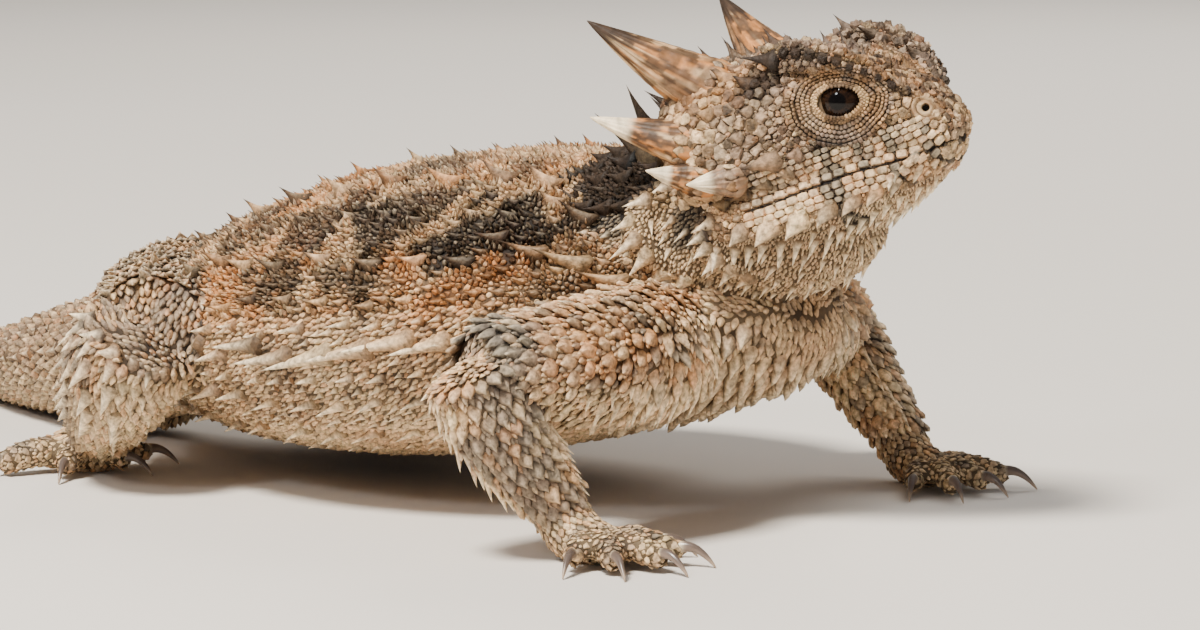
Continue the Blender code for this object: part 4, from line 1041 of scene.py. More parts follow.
# The lids: a thick yellowish rim of fine beads round each opening, then folds of bead scales that
# spread to the edge of the orbit under the brow, like ripples.
FOLDS = (0.26, 0.42, 0.56, 0.70, 0.83, 0.94)
lid_skin = horny_material("lid skin", 0.6, 1800.0, 0.00004, 0.2)


def skin_height(points, gaze):
    """How far out along gaze the body's skin lies at each point, from the plane through the points."""
    way = Vector(HEAD_TURN @ gaze)
    heights = []
    for point in from_head(points + gaze * 9).tolist():
        hit = skin_tree.ray_cast(Vector(point), -way, 14)
        heights.append(9 - hit[3] if hit[0] else -3.0)
    return np.array(heights)


def waver(phi):
    """The folds wander in and out as they go round the eye."""
    return 0.028 * np.sin(3 * phi + 1.0) + 0.018 * np.sin(5 * phi + 2.0) + 0.012 * np.sin(11 * phi)


def lid_height(u, across, up, base):
    """Height of the lids over the plane of the eye: the ball's bulge easing into the skin, with folds."""
    ball = -0.85 + np.sqrt(np.maximum(3.25**2 - across**2 - up**2, 0.0))
    true_ball = np.sqrt(np.maximum(EYE_RADIUS**2 - across**2 - up**2, 0.0))
    height = ball * (1 - smooth(0.1, 0.75, u)) + (base + 0.15) * smooth(0.1, 0.75, u) + 0.16
    height = np.maximum(height, base + 0.1 - 0.5 * smooth(0.88, 1.0, u))
    phi = np.arctan2(up, across)
    for n, fold in enumerate(FOLDS):
        deep = 0.3 * (0.6 + 0.4 * np.sin(2 * phi + 2.1 * n))
        height = height - deep * np.exp(-(((u - fold - waver(phi)) / 0.028) ** 2))
    height = np.where(u < 0.02, true_ball * 0.985, height + 0.12 * np.exp(-(((u - 0.06) / 0.05) ** 2)))
    return height - 0.55 * smooth(0.9, 1.0, u)


def lid_points(sign, u, phi):
    centre, gaze, forward, upward = eye_axes(sign)
    ahead = EYE_OPENING[0] + (ORBIT_REACH[0] - EYE_OPENING[0]) * u
    tall = EYE_OPENING[1] + (ORBIT_REACH[1] - 0.35 * np.sin(phi) - EYE_OPENING[1]) * u
    across, up = ahead * np.cos(phi) - 0.15 * u, tall * np.sin(phi)
    flat = centre + forward * across[:, None] + upward * up[:, None]
    height = lid_height(u, across, up, skin_height(flat, gaze))
    return flat + gaze * height[:, None]


def lid_colours(u, phi, places):
    lumps = noise(places, 1.1, 31)
    rim = mixed(np.tile(CREAM * (0.8, 0.76, 0.7), (len(u), 1)), SAND, 0.8 * smooth(0.3, 0.7, lumps))
    bars = smooth(0.6, 0.85, np.abs(np.sin(phi + 0.25 * lumps))) * smooth(0.42, 0.55, noise(places, 0.8, 32) + 0.1)
    rim = mixed(rim, BARK * 0.7, 0.85 * bars)
    outer = mixed(np.tile(SAND * 0.8, (len(u), 1)), ASH, smooth(0.35, 0.65, lumps))
    outer = mixed(outer, CREAM, 0.3 * smooth(0.5, 0.8, noise(places, 1.4, 33)))
    outer = mixed(outer, BARK, 0.6 * smooth(0.52, 0.68, noise(places, 1.0, 34)))
    under = smooth(-0.75, -0.95, np.sin(phi + 0.35)) * smooth(0.55, 0.8, u)
    return mixed(mixed(rim, outer, smooth(0.26, 0.34, u)), SOOT, 0.7 * under)


def lid_scale_seeds(sign, u, count, size, offset):
    phi = (np.arange(count) + offset + rng.uniform(-0.12, 0.12, count)) / count * 2 * math.pi
    rows = np.full(count, u) + rng.uniform(-0.012, 0.012, count) + waver(phi) * (u > 0.25)
    here, ahead = lid_points(sign, rows, phi), lid_points(sign, rows, phi + 0.03)
    outer, inner = lid_points(sign, rows + 0.03, phi), lid_points(sign, rows - 0.03, phi)
    gaze = eye_axes(sign)[1]
    normal = unit(np.cross(ahead - here, outer - inner))
    normal *= np.sign((normal * gaze).sum(1))[:, None]
    places = from_head(here)
    s, angle, _ = forms["head"].seek(places)
    seeds = Seeds(place=places, normal=normal @ HEAD_TURN.T, lie=normal, size=np.full(count, size),
                  owner=np.full(count, form_names.index("head")), s=s, angle=angle)
    return seeds.lay((outer - inner) @ HEAD_TURN.T), rows, phi


for side, sign in SIDES.items():
    shares = np.concatenate(([-0.06, 0.0, 0.02, 0.045, 0.07, 0.10], np.linspace(0.13, 1.0, 46)))
    turns = np.linspace(0, 2 * math.pi, 120, endpoint=False) * -sign
    u, phi = (grid.ravel() for grid in np.meshgrid(shares, turns, indexing="ij"))
    places = from_head(lid_points(sign, u, phi))
    _, faces = rings_to_mesh(places.reshape(len(shares), len(turns), 3), ends=(False, False))
    mesh = new_mesh(f"lids_{side}", places, faces)
    # The lid skin is painted darker in the creases of the folds and at its rim against the ball, and at six tenths
    # overall: painted shade in the creases and between the beads.
    painted_crease_shade = sum(np.exp(-(((u - fold - waver(phi)) / 0.03) ** 2)) for fold in FOLDS) + smooth(0.035, 0.0, u)
    paint(mesh, lid_colours(u, phi, places) * (0.6 - 0.54 * np.clip(painted_crease_shade, 0, 1))[:, None])
    mesh.materials.append(lid_skin)
    placed(f"lids_{side}", mesh)
    beads, groups, tints = Shapes(), [], []
    for u, count, size in ((0.075, 36, 0.17), (0.14, 40, 0.17), (0.2, 40, 0.18), (0.34, 46, 0.25), (0.49, 50, 0.25),
                           (0.63, 54, 0.25), (0.765, 58, 0.25), (0.885, 60, 0.26)):
        group, rows, phi = lid_scale_seeds(sign, u, count, size, 0.5 * (len(groups) % 2))
        groups.append(group)
        tints.append(lid_colours(rows, phi, group.place))
    tints = np.vstack(tints)
    everyone = Seeds.joined(groups)
    cobbles(beads, everyone, (0.05 + 0.3 * everyone.size) * rng.uniform(0.5, 1.4, len(everyone)), 0.1, sides=8, cap=1.5,
            groove=0.02, among=groups)
    coat_piece(f"lid_beads_{side}", beads, tint=lambda seeds, marking, own=tints: own)


def clear_of_orbits(seeds):
    """Which seeds lie outside the lids."""
    x, y, z = to_head(seeds.place).T
    clear = np.ones(len(seeds), bool)
    for sign in SIDES.values():
        centre, gaze, forward, upward = eye_axes(sign)
        step = to_head(seeds.place) - centre
        ahead, up = step @ forward + 0.15, step @ upward
        tall = np.where(up > 0, ORBIT_REACH[1] - 0.35, ORBIT_REACH[1] + 0.35)
        inside = (ahead / (ORBIT_REACH[0] - 0.15)) ** 2 + (up / (tall - 0.15)) ** 2 < 1
        clear &= ~(inside & (y * sign > 1.5))
    return clear


# The nostrils: a round hole in two raised pale rings, high on each side of the snout.
NOSTRIL_PROFILE = ((0.05, -0.55), (0.26, -0.5), (0.31, -0.05), (0.38, 0.16), (0.54, 0.24), (0.70, 0.14), (0.79, 0.0),
                   (0.9, 0.15), (1.06, 0.18), (1.2, 0.04), (1.34, -0.6))  # radius and height
for side, sign in SIDES.items():
    aim = from_head(NOSTRIL_AT * (1, sign, 1))
    hit = skin_tree.find_nearest(Vector(aim))
    out = unit(np.array((0.42, sign * 0.86, 0.28)))
    root = to_head(np.array(hit[0][:])) * 0.5 + to_head(aim) * 0.5 + out * 0.25
    ahead = unit(np.array((1.0, 0.0, 0.0)) - out * out[0])
    above = np.cross(out, ahead) * sign * -1
    turns = np.linspace(0, 2 * math.pi, 48, endpoint=False) * sign
    loops = []
    for radius, height in NOSTRIL_PROFILE:
        flat = root + ahead * radius * np.cos(turns)[:, None] + above * radius * np.sin(turns)[:, None]
        base = np.minimum(skin_height(flat, out), 0.3)
        base = base * min(max((radius - 0.3) / 0.7, 0.0), 1.0)
        loops.append(flat + out * (base + height)[:, None])
    places, faces = rings_to_mesh(from_head(np.array(loops)), ends=(True, False))
    faces = faces if sign < 0 else faces[:, ::-1]
    height = np.repeat([height for _, height in NOSTRIL_PROFILE], len(turns))
    # Deep in the hole the colour turns near-black: painted shade inside the nostril.
    colours = mixed(np.tile(SOOT * 0.5, (len(height), 1)), mixed(np.tile(CREAM * 0.85, (len(height), 1)), SAND * 0.7,
                    smooth(0.3, 0.6, noise(places, 0.5, 41))) * 0.9, smooth(-0.15, 0.14, height))
    mesh = new_mesh(f"nostril_{side}", places, faces)
    paint(mesh, colours)
    mesh.materials.append(lid_skin)
    placed(f"nostril_{side}", mesh)
    claim(settle(from_head(root)[None], np.array(((-1.0, 0.0, 0.0),)), 1.05, furthest=3))

# The horns: hollow-looking cones of horn over bone cores, ringed by plates at the root and finely
# grooved along their length. The two at the back of the crown are longest; all point back and out.
# Root, lean, length, radius at the root and upward bend, drawn for the left side
HORNS = {
    "occipital": ((2.0, 6.1, 6.2), (-7.8, 5.2, 6.5), 11.1, 2.75, 0.9),
    "temporal_upper": ((0.8, 8.4, 2.0), (-7.8, 2.6, 3.0), 8.6, 2.1, 0.5),
    "temporal_lower": ((2.0, 9.2, -1.0), (-3.6, 2.5, 1.2), 4.8, 1.6, 0.3),
    "temporal_front": ((4.9, 9.2, -1.2), (-2.9, 2.3, 0.0), 4.0, 1.45, 0.2),
}
horn_keratin = horny_material("grooved horn", 0.5, 1100.0, 0.00006, 0.35)
horn_collars = []


def horn_colours(kind, t, phi, seed):
    """Streaked tan and brown horn: pale or dark towards the tip, as each kind is."""
    round_about = np.stack((np.cos(phi) * 5, np.sin(phi) * 5, t * 2.2), 1)
    streaks, patches = noise(round_about, 0.8, seed), noise(round_about * (0.4, 0.4, 2.2), 0.9, seed + 3)
    spots = noise(round_about * (0.8, 0.8, 4.5), 0.9, seed + 5) + 0.3 * (streaks - 0.5)
    base = mixed(np.tile(SAND * 0.9, (len(t), 1)), RUST, smooth(0.35, 0.55, streaks))
    base = mixed(base, CREAM, 0.6 * smooth(0.4, 0.25, streaks))
    base = mixed(base, BARK * 0.7, 0.9 * smooth(0.49, 0.6, spots) * smooth(0.02, 0.1, t))
    base = mixed(base, BARK, 0.7 * smooth(0.52, 0.6, patches) * smooth(0.0, 0.08, t))
    base = mixed(base, CREAM, 0.5 * smooth(0.2, 0.7, -np.sin(phi)) * smooth(0.25, 0.5, t) * smooth(0.5, 0.35, streaks))
    if kind == "occipital":
        base = mixed(base, CREAM, 0.7 * smooth(0.5, 0.58, t) * smooth(0.3, -0.4, np.sin(phi)) * smooth(0.55, 0.45, streaks))
        return mixed(base, SOOT * 1.4, 0.97 * smooth(0.62, 0.8, t + 0.12 * np.sin(phi) + 0.25 * (streaks - 0.5)))
    if kind == "temporal_front":
        return mixed(mixed(base, ASH, 0.6), CHALK * 0.9, smooth(0.45, 0.65, t + 0.1 * streaks))
    band = smooth(0.30, 0.36, t + 0.1 * streaks) * smooth(0.56, 0.5, t + 0.1 * streaks) * smooth(-0.5, 0.1, np.sin(phi))
    base = mixed(base, SOOT * 1.8, 0.85 * band)
    return mixed(base, CHALK * 0.92, smooth(0.52, 0.66, t))


for side, sign in SIDES.items():
    parts, shells, colours, count = [], [], [], 0
    for number, (kind, (root, lean, length, radius, bend)) in enumerate(HORNS.items()):
        root, lean = np.array(root) * (1, sign, 1), unit(np.array(lean) * (1, sign, 1))
        up = np.array((0.0, 0.0, 1.0))
        across = unit(np.cross(lean, up))
        over = np.cross(across, lean)
        t = np.linspace(-0.3, 1, 96)[:, None]
        phi = np.linspace(0, 2 * math.pi, 64, endpoint=False)[None]
        rising = np.maximum(t, 0)
        grooves = noise(np.stack((np.broadcast_to(np.cos(phi) * 9, (96, 64)).ravel(),
                                  np.broadcast_to(np.sin(phi) * 9, (96, 64)).ravel(),
                                  np.broadcast_to(t * 1.6, (96, 64)).ravel()), 1), 0.9, number).reshape(96, 64)
        thick = radius * np.maximum(1 - rising, 0) ** 0.85 * 0.97 + 0.1 * (1 - rising) + 0.03
        thick = thick * np.sqrt(np.maximum(1 - (np.minimum(t, 0) / 0.302) ** 2, 0))
        thick = thick * (1 + 0.2 * (grooves - 0.5) * smooth(1.0, 0.7, t)) + 0.02 * np.sin(rising * 60) * smooth(0.7, 0.2, t)
        line = root + lean * length * t[..., None] + up * bend * (rising**2)[..., None]
        loops = line + (across * np.cos(phi)[..., None] + over * np.sin(phi)[..., None]) * thick[..., None]
        places, faces = rings_to_mesh(from_head(loops))
        parts.append(places)
        shells.append(faces + count)
        count += len(places)
        along, about = (np.broadcast_to(grid, (96, 64)).ravel() for grid in (t, phi))
        # The horn is painted darker where its grooves sink in and paler on the ridges between them: painted shade and
        # light of the grooves.
        colours.append(horn_colours(kind, along, about, number * 2.0 + (sign > 0)) * (0.8 + 0.45 * grooves.ravel())[:, None])
        horn_collars.append((sign, root, lean, across, over, radius))
    mesh = new_mesh(f"horns_{side}", np.vstack(parts), np.vstack(shells))
    paint(mesh, np.clip(np.vstack(colours), 0.01, 0.9))
    mesh.materials.append(horn_keratin)
    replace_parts(placed(f"horns_{side}", mesh), *[f"horn_{kind}_{side}" for kind in HORNS])

# The head's shields: rough plates over the crown, a ledge of dark plates along the brow, square lip
# plates in rows beside the mouth line, and a fringe of pointed shields and white spikes on the chin.
# Dark plates along the brow's edge: x, z and half length
BROW_PLATES = ((10.4, 8.5, 0.5), (11.5, 8.4, 0.5), (12.6, 8.1, 0.5), (13.65, 7.65, 0.5), (14.65, 7.2, 0.48), (15.6, 6.7, 0.46),
               (16.5, 6.15, 0.46), (17.3, 5.45, 0.46), (18.05, 4.7, 0.44), (18.75, 3.95, 0.42))
BROW_RIM = ((9.6, 7.6), (10.9, 7.75), (12.3, 7.5), (13.7, 7.0), (15.1, 6.4), (16.2, 5.75), (17.1, 4.9), (17.6, 3.9), (17.9, 2.9))
CHIN_SHIELDS = ((5.2, -5.3, 2.5, 0.95), (7.5, -5.2, 3.0, 1.15), (9.9, -4.95, 3.0, 1.15), (12.3, -4.4, 2.7, 1.05),
                (14.2, -3.95, 2.5, 1.0), (15.9, -3.6, 2.2, 0.9), (17.4, -3.15, 1.9, 0.8), (18.9, -2.55, 1.6, 0.65),
                (20.0, -2.1, 1.2, 0.55))  # x, z, length and half width
CHIN_SPIKES = ((2.2, -6.9, 1.7), (3.6, -6.95, 1.8), (4.9, -6.95, 1.9), (6.1, -6.9, 2.0), (7.4, -6.95, 2.1), (8.5, -7.1, 2.1),
               (9.6, -7.2, 2.0), (10.6, -7.1, 1.9), (11.5, -6.8, 1.8), (12.6, -6.3, 1.7), (13.6, -5.9, 1.6),
               (14.6, -5.5, 1.5), (15.6, -5.1, 1.4), (16.6, -4.6, 1.3), (17.6, -4.1, 1.2), (18.5, -3.6, 1.0),
               (19.3, -3.1, 0.9))  # x, z and length
CROWN_SPIKES = (
    (19.4, 1.6, 0.7, 0.4), (18.2, 3.2, 0.8, 0.42), (16.8, 0.8, 0.9, 0.45), (16.0, 4.4, 1.3, 0.5), (14.6, 2.0, 1.0, 0.45),
    (13.4, 4.2, 1.1, 0.45), (12.4, 0.9, 1.2, 0.5), (11.6, 5.6, 1.5, 0.55), (10.4, 3.0, 1.3, 0.5), (9.4, 1.2, 1.0, 0.45),
    (9.0, 6.4, 1.5, 0.5), (8.2, 4.2, 1.5, 0.5), (6.8, 5.4, 1.4, 0.5), (6.4, 2.2, 1.3, 0.5), (5.2, 3.8, 1.6, 0.55),
    (4.4, 0.8, 1.2, 0.5), (3.4, 3.0, 1.7, 0.55), (2.2, 1.0, 2.0, 0.6), (0.6, 2.4, 1.8, 0.6),
)  # x, y, length and half width
TEMPLE_SPIKES = (
    (4.6, 7.0, 1.9, 0.85, 60), (6.6, 6.5, 1.5, 0.75, 55), (2.4, 7.0, 1.6, 0.8, 60), (8.3, -0.1, 2.9, 1.0, 42), (10.2, 0.1, 1.0, 0.8, 35),
    (6.0, 2.2, 1.0, 0.7, 40), (3.6, 4.4, 1.2, 0.75, 45), (9.2, -1.3, 1.2, 0.7, 35), (7.2, -2.0, 1.4, 0.75, 35), (5.2, -2.6, 1.8, 0.8, 35),
    (3.4, -3.2, 1.6, 0.75, 35), (7.0, 4.2, 0.9, 0.6, 45),
)  # x, z, length, half width and degrees off the skin
# The black thorns of the nape just behind the horns: x, y, z, length, half width, degrees off the skin
NAPE_THORNS = ((-4.4, 4.0, 1.6, 7.4, 1.8, 76), (-5.2, 4.4, 2.0, 7.0, 1.7, 46), (-4.0, 6.4, 2.0, 4.6, 1.2, 50), (-3.4, 1.8, 4.0, 4.4, 1.2, 58),
               (-6.4, 2.6, 2.2, 3.4, 1.0, 45), (-7.6, 5.0, 1.6, 3.0, 0.9, 40), (-2.2, 6.4, 3.0, 3.0, 0.9, 50))


CHIN_LEAF = ((0.0, 0.6, 0.0), (0.16, 0.95, 0.5), (0.34, 1.0, 0.8), (0.5, 0.86, 0.95), (0.64, 0.62, 1.0), (0.76, 0.4, 0.95),
             (0.86, 0.22, 0.8), (0.94, 0.1, 0.5))


def struck(starts, way, lies, sizes):
    """Seeds where rays from starts, along way, first meet the skin; all in the head's own frame."""
    ray = Vector(HEAD_TURN @ np.asarray(way, float))
    places = []
    for start in from_head(starts).tolist():
        hit = skin_tree.ray_cast(Vector(start), ray, 60)[0]
        places.append((hit or skin_tree.find_nearest(Vector(start) + ray * 18)[0])[:])
    places = np.array(places)
    lies = np.broadcast_to(lies, places.shape) @ HEAD_TURN.T
    return settle(places, lies, sizes)


def on_side(sign, spots, lies, sizes):
    """Seeds on the side of the head at spots of x and z."""
    spots = np.asarray(spots, float)
    starts = np.stack((spots[:, 0], np.full(len(spots), sign * 25.0), spots[:, 1]), 1)
    return struck(starts, (0.0, -sign, 0.0), lies, sizes)


def along_line(line, spacing, start, aside):
    """Spots evenly spaced along a line of x and z, moved aside upwards, and the way it runs there."""
    line = np.array(line, float)
    step = np.diff(line, axis=0)
    long = np.linalg.norm(step, axis=1)
    road = np.concatenate(([0], np.cumsum(long)))
    stops = np.arange(start, road[-1], spacing)
    spots = np.stack([np.interp(stops, road, line[:, k]) for k in (0, 1)], 1)
    ways = unit(np.stack([np.interp(stops, (road[1:] + road[:-1]) / 2, step[:, k] / long) for k in (0, 1)], 1))
    return spots + np.stack((ways[:, 1], -ways[:, 0]), 1) * aside, ways


def head_way(x, y, z):
    return HEAD_TURN @ np.array((x, y, z), float)


# The third number is painted shade and light, as in the other profiles: darker at the foot, lighter on top.
LIP = ((1.0, -0.35, 0.55), (0.97, 0.5, 0.92), (0.7, 0.95, 1.0))
plates, spikes = Shapes(), Shapes()
for sign, root, lean, across, over, radius in horn_collars:
    claim(settle(from_head(root)[None], head_way(-1, 0, 0)[None], radius * 0.8, furthest=9.0))
    count = round(2 * math.pi * radius / 1.0)
    phi = np.arange(count) / count * 2 * math.pi
    radial = across * np.cos(phi)[:, None] + over * np.sin(phi)[:, None]
    places = from_head(root + lean * 0.15 + radial * radius * 1.04)
    s, angle, depth = forms["head"].seek(places)
    collar = Seeds(place=places, normal=radial @ HEAD_TURN.T, lie=radial, size=np.full(count, 0.4),
                   owner=np.full(count, form_names.index("head")), s=s, angle=angle)
    collar = claim(collar.lay(HEAD_TURN @ lean).pick((depth < 0.5) & (depth > -0.9)))
    leaves(plates, collar, rng.uniform(1.0, 1.6, len(collar)), 0.55, 3, keel=0.1, pale=0.05)
for sign in SIDES.values():
    x, y, length, half = np.array(CROWN_SPIKES).T
    crown = claim(struck(np.stack((x, sign * y, 0 * x + 20), 1), (0, 0, -1), (-1.0, 0.0, 0.2), half))
    thorns(spikes, crown, length * 1.4, half, 76, flat=(1.2, 0.9), hook=0.2, edge=0.0, tip=-0.95, body=-0.25,
           tone=np.full(len(crown), 0.7))
    x, z, length, half, stand = np.array(TEMPLE_SPIKES).T
    temple = claim(on_side(sign, np.stack((x, z), 1), (-1.0, 0.0, 0.1), half * 0.85))
    thorns(spikes, temple, length, half, stand, flat=(1.0, 0.85), hook=0.4, edge=0.0, tip=-0.95, slim=1.0,
           tone=np.where(np.arange(len(temple)) == 3, 1.25, 0.8))
    x, y, z, length, half, stand = np.array(NAPE_THORNS).T
    nape = settle(from_head(np.stack((x, sign * y, z), 1)), head_way(-1.0, 0.15 * sign, 0.5), half, furthest=9.0)
    thorns(spikes, claim(nape), length, half, stand, flat=(1.2, 0.8), hook=-0.15, edge=0.0, tip=-0.95, body=-0.9,
           tone=np.full(len(nape), 0.2))
    x, z, long = np.array(BROW_PLATES).T
    brow = claim(on_side(sign, np.stack((x, z), 1), (-1.0, 0.0, 0.45), 0.5))
    cobbles(plates, brow, 0.55, 0.0, sides=14, profile=PLATE, pale=-0.88, top=0.8, box=(long * 0.82, 0.36),
            tone=np.full(len(brow), 0.25))
    rim, ways = along_line(BROW_RIM, 0.6, 0.2, 0.0)
    rim = claim(on_side(sign, rim, np.stack((ways[:, 0], 0 * ways[:, 0], ways[:, 1]), 1), 0.28))
    cobbles(plates, rim, rng.uniform(0.2, 0.35, len(rim)), 0.0, sides=10, profile=PLATE, pale=rng.uniform(-0.3, 0.15, len(rim)),
            box=(0.28, 0.25))
    horn = claim(on_side(sign, ((9.2, 7.9),), (-1.0, 0.0, 0.28), 0.8))
    thorns(spikes, horn, 3.1, 0.85, 18, flat=(1.1, 0.9), hook=-0.4, edge=0.0, tip=-0.98, body=-0.85, tone=np.full(len(horn), 0.2))
    gap, _ = along_line(MOUTH, 0.4, 0.1, 0.0)
    claim(on_side(sign, gap, (-1.0, 0.0, 0.0), 0.1))
    for aside, spacing, tall in ((0.43, 0.98, 0.33), (-0.41, 0.92, 0.31), (1.06, 0.88, 0.28), (-1.0, 0.84, 0.26), (1.62, 0.8, 0.26),
                                 (-1.52, 0.76, 0.24), (2.14, 0.76, 0.24), (2.62, 0.7, 0.22)):
        spots, ways = along_line(MOUTH, spacing, rng.uniform(0.2, 0.9), aside)
        lips = on_side(sign, spots, np.stack((ways[:, 0], 0 * ways[:, 0], ways[:, 1]), 1), tall + 0.13)
        lips = claim(lips.pick(clear_of_orbits(lips)))
        cobbles(plates, lips, rng.uniform(0.2, 0.3, len(lips)), 0.0, sides=14, profile=LIP, pale=0.25, rough=0.05,
                box=(spacing * rng.uniform(0.49, 0.53, len(lips)), tall * 1.08))
    x, z, length, half = np.array(CHIN_SHIELDS).T
    chin = claim(on_side(sign, np.stack((x, z), 1), (-0.75, 0.0, -0.65), half * 0.7))
    leaves(plates, chin, length * 1.15, half, 17, keel=0.3, outline=CHIN_LEAF, pale=1.0)
    x, z, length = np.array(CHIN_SPIKES).T
    chin = claim(on_side(sign, np.stack((x, z), 1), (-0.35, 0.0, -1.0), 0.42))
    thorns(spikes, chin, length * rng.uniform(1.0, 1.3, len(chin)), 0.5, 40, flat=(0.8, 0.7), slim=0.95, edge=0.3, tip=0.95, body=0.6)
x, y, z = face_head.T
chin_line = np.interp(-x, [-spot[0] for spot in CHIN_SHIELDS[::-1]], [spot[1] for spot in CHIN_SHIELDS[::-1]])
below_chin = on("jaw", "head") & (z < chin_line - 0.5)
above_chin = on("jaw", "head") & ~below_chin
room = np.full(len(x), 0.30)
room = np.where((z > 4.6) | (x > 18), 0.40, room)
room = np.where((x < 8.5) & (z > -3) & (z < 6.5), 0.50, room)
for share_room, height in ((1.0, 0.24), (0.66, 0.2), (0.46, 0.16), (0.34, 0.14)):
    more = fill(above_chin, room * share_room, way=head_way(-1, 0, -0.1), keep=clear_of_orbits)
    high = smooth(5.0, 7.0, to_head(more.place)[:, 2])
    dark = np.where(rng.random(len(more)) < 0.3 + 0.3 * high, -rng.uniform(0.3, 0.9, len(more)), rng.uniform(0, 0.12, len(more)))
    rough = rng.uniform(0.6, 1.5, len(more)) * height * (1 + 0.7 * high)
    cobbles(plates, more, rough, rng.uniform(0.0, 0.7, len(more)), sides=9 if share_room == 1 else 7, cap=1.5,
            profile=PLATE if share_room > 0.5 else CONE, pale=dark, rough=0.22, groove=0.03)


def weathered(seeds, marking):
    """Scale by scale, paler, redder or darker than the marking, as old scales are."""
    draw = rng.random(len(seeds))
    light = smooth(0.04, 0.1, marking.mean(1))
    marking = mixed(marking, CREAM, 0.45 * (draw < 0.14) * light)
    marking = mixed(marking, RUST, 0.4 * ((draw > 0.14) & (draw < 0.26)) * light)
    return mixed(marking, BARK, 0.5 * ((draw > 0.26) & (draw < 0.42)) * light)


coat_piece("scales_head", plates, tint=weathered, speckle=0.28)
coat_piece("spikes_head", spikes)

# The throat: a bag of small sharp scales that stand off the skin, with larger spikes among them,
# hanging in loose rows behind the chin.
throat = Shapes()
down_back = head_way(-0.6, 0.0, -0.9)
spread = fill(below_chin, 0.40, way=down_back, share=1.7)
thorns(throat, spread, rng.uniform(0.9, 1.6, len(spread)), 0.34, 44, flat=(0.8, 0.7), slim=1.0, edge=0.3, tip=0.9, body=0.55,
       sides=7, rings=5)
small = fill(below_chin, 0.16, way=down_back)
leaves(throat, small, rng.uniform(0.42, 0.6, len(small)), 0.18, rng.uniform(24, 44, len(small)), keel=0.3, pale=0.4)
coat_piece("scales_throat", throat)

# The neck: loose folds edged with pale spines down each side, the nape above them black and ragged.
# Rows: first and last share, first and last angle, number, length, half width, degrees off the skin
NAPE_ROWS = ((0.04, 0.44, 72, 66, 5, 3.3, 1.1, 56), (0.06, 0.48, 44, 40, 5, 2.4, 0.95, 50), (0.16, 0.34, 24, 18, 3, 2.6, 0.95, 46),
             (0.10, 0.40, 57, 54, 4, 1.9, 0.8, 52))
neck = Shapes()
for name, ridge in ridges.items():
    if name.startswith("fold"):
        s = np.linspace(0.08, 0.94, 7)
        turns = np.arange(0, 360, 12.0)
        around = ridge.at(s[:, None], turns[None])
        outside = forms["neck"].seek(around.reshape(-1, 3))[2].reshape(len(s), -1).argmin(1)
        places = around[np.arange(len(s)), outside]
        fringe = claim(settle(places, np.array((-0.75, 0.0, -0.55)), 0.5, furthest=3.0))
        long = 2.4 if name.endswith("1") else 1.8
        thorns(neck, fringe, long * rng.uniform(0.9, 1.3, len(fringe)), 0.8, 36, flat=(0.7, 0.6), edge=0.3, tip=0.95, body=0.35)
crest, (length, half, stand) = grow_rows("neck", NAPE_ROWS, bare=0.5)
thorns(neck, crest, length, half * 0.8, stand, flat=(1.6, 1.0), edge=0.0, tip=-0.9, body=-0.3, tone=np.full(len(crest), 0.9))
nape = on("neck") & (face_up > 20) & (face_s < 0.7)
ragged = fill(nape, 0.36, share=1.5)
thorns(neck, ragged, rng.uniform(0.8, 1.8, len(ragged)), 0.34, 54, edge=0.04, tip=-0.4, sides=6, rings=5,
       tone=rng.uniform(0.5, 1.5, len(ragged)))
grains = fill(nape, 0.22)
cobbles(neck, grains, rng.uniform(0.25, 0.6, len(grains)), rng.uniform(0.2, 0.8, len(grains)), sides=7)
loose = on("neck") & ~nape
bristles = fill(loose, 0.42, way=(-0.6, 0.0, -0.7), share=1.8)
thorns(neck, bristles, rng.uniform(1.0, 1.9, len(bristles)), 0.38, 38, flat=(0.8, 0.7), edge=0.3, tip=0.8, body=0.4, sides=7,
       rings=5)
pointed = fill(loose, 0.19, way=(-0.6, 0.0, -0.7))
leaves(neck, pointed, rng.uniform(0.5, 0.75, len(pointed)), 0.22, rng.uniform(20, 38, len(pointed)), keel=0.3, pale=0.35)
coat_piece("scales_neck", neck)

# The back: rows of thorns like shark fins, each on a mound of granules, over rough beads of every size.
BACK_ROWS = (
    (0.10, 0.72, 77, 82, 13, 2.3, 0.62, 58), (0.12, 0.74, 58, 62, 12, 3.2, 0.85, 54),
    (0.14, 0.68, 45, 43, 13, 2.0, 0.6, 52), (0.14, 0.66, 32, 25, 12, 3.0, 0.8, 46),
    (0.16, 0.62, 17, 12, 12, 2.3, 0.62, 36), (0.66, 0.86, 34, 18, 5, 4.6, 0.85, 22), (0.68, 0.82, 52, 48, 4, 3.0, 0.75, 46),
)
fins = Shapes()
great, (length, half, stand) = grow_rows("torso", BACK_ROWS)
thorns(fins, great, length, half, stand + 10, flat=(1.6, 0.9), hook=0.4, edge=0.45, tip=-0.85, body=-0.3)
upper = on("torso") & (face_up > 11) & (face_s < 0.88) & (face_s > 0.05)
lesser = fill(upper, 0.42, share=1.6)
thorns(fins, lesser, rng.uniform(0.7, 1.6, len(lesser)), rng.uniform(0.26, 0.4, len(lesser)), 58, flat=(1.5, 1.0), edge=0.3,
       tip=-0.75, body=-0.2, sides=7, rings=5, tone=rng.uniform(0.7, 1.2, len(lesser)))
coat_piece("fins_back", fins, speckle=0.25)
fin_tree = tree_of(great.place)
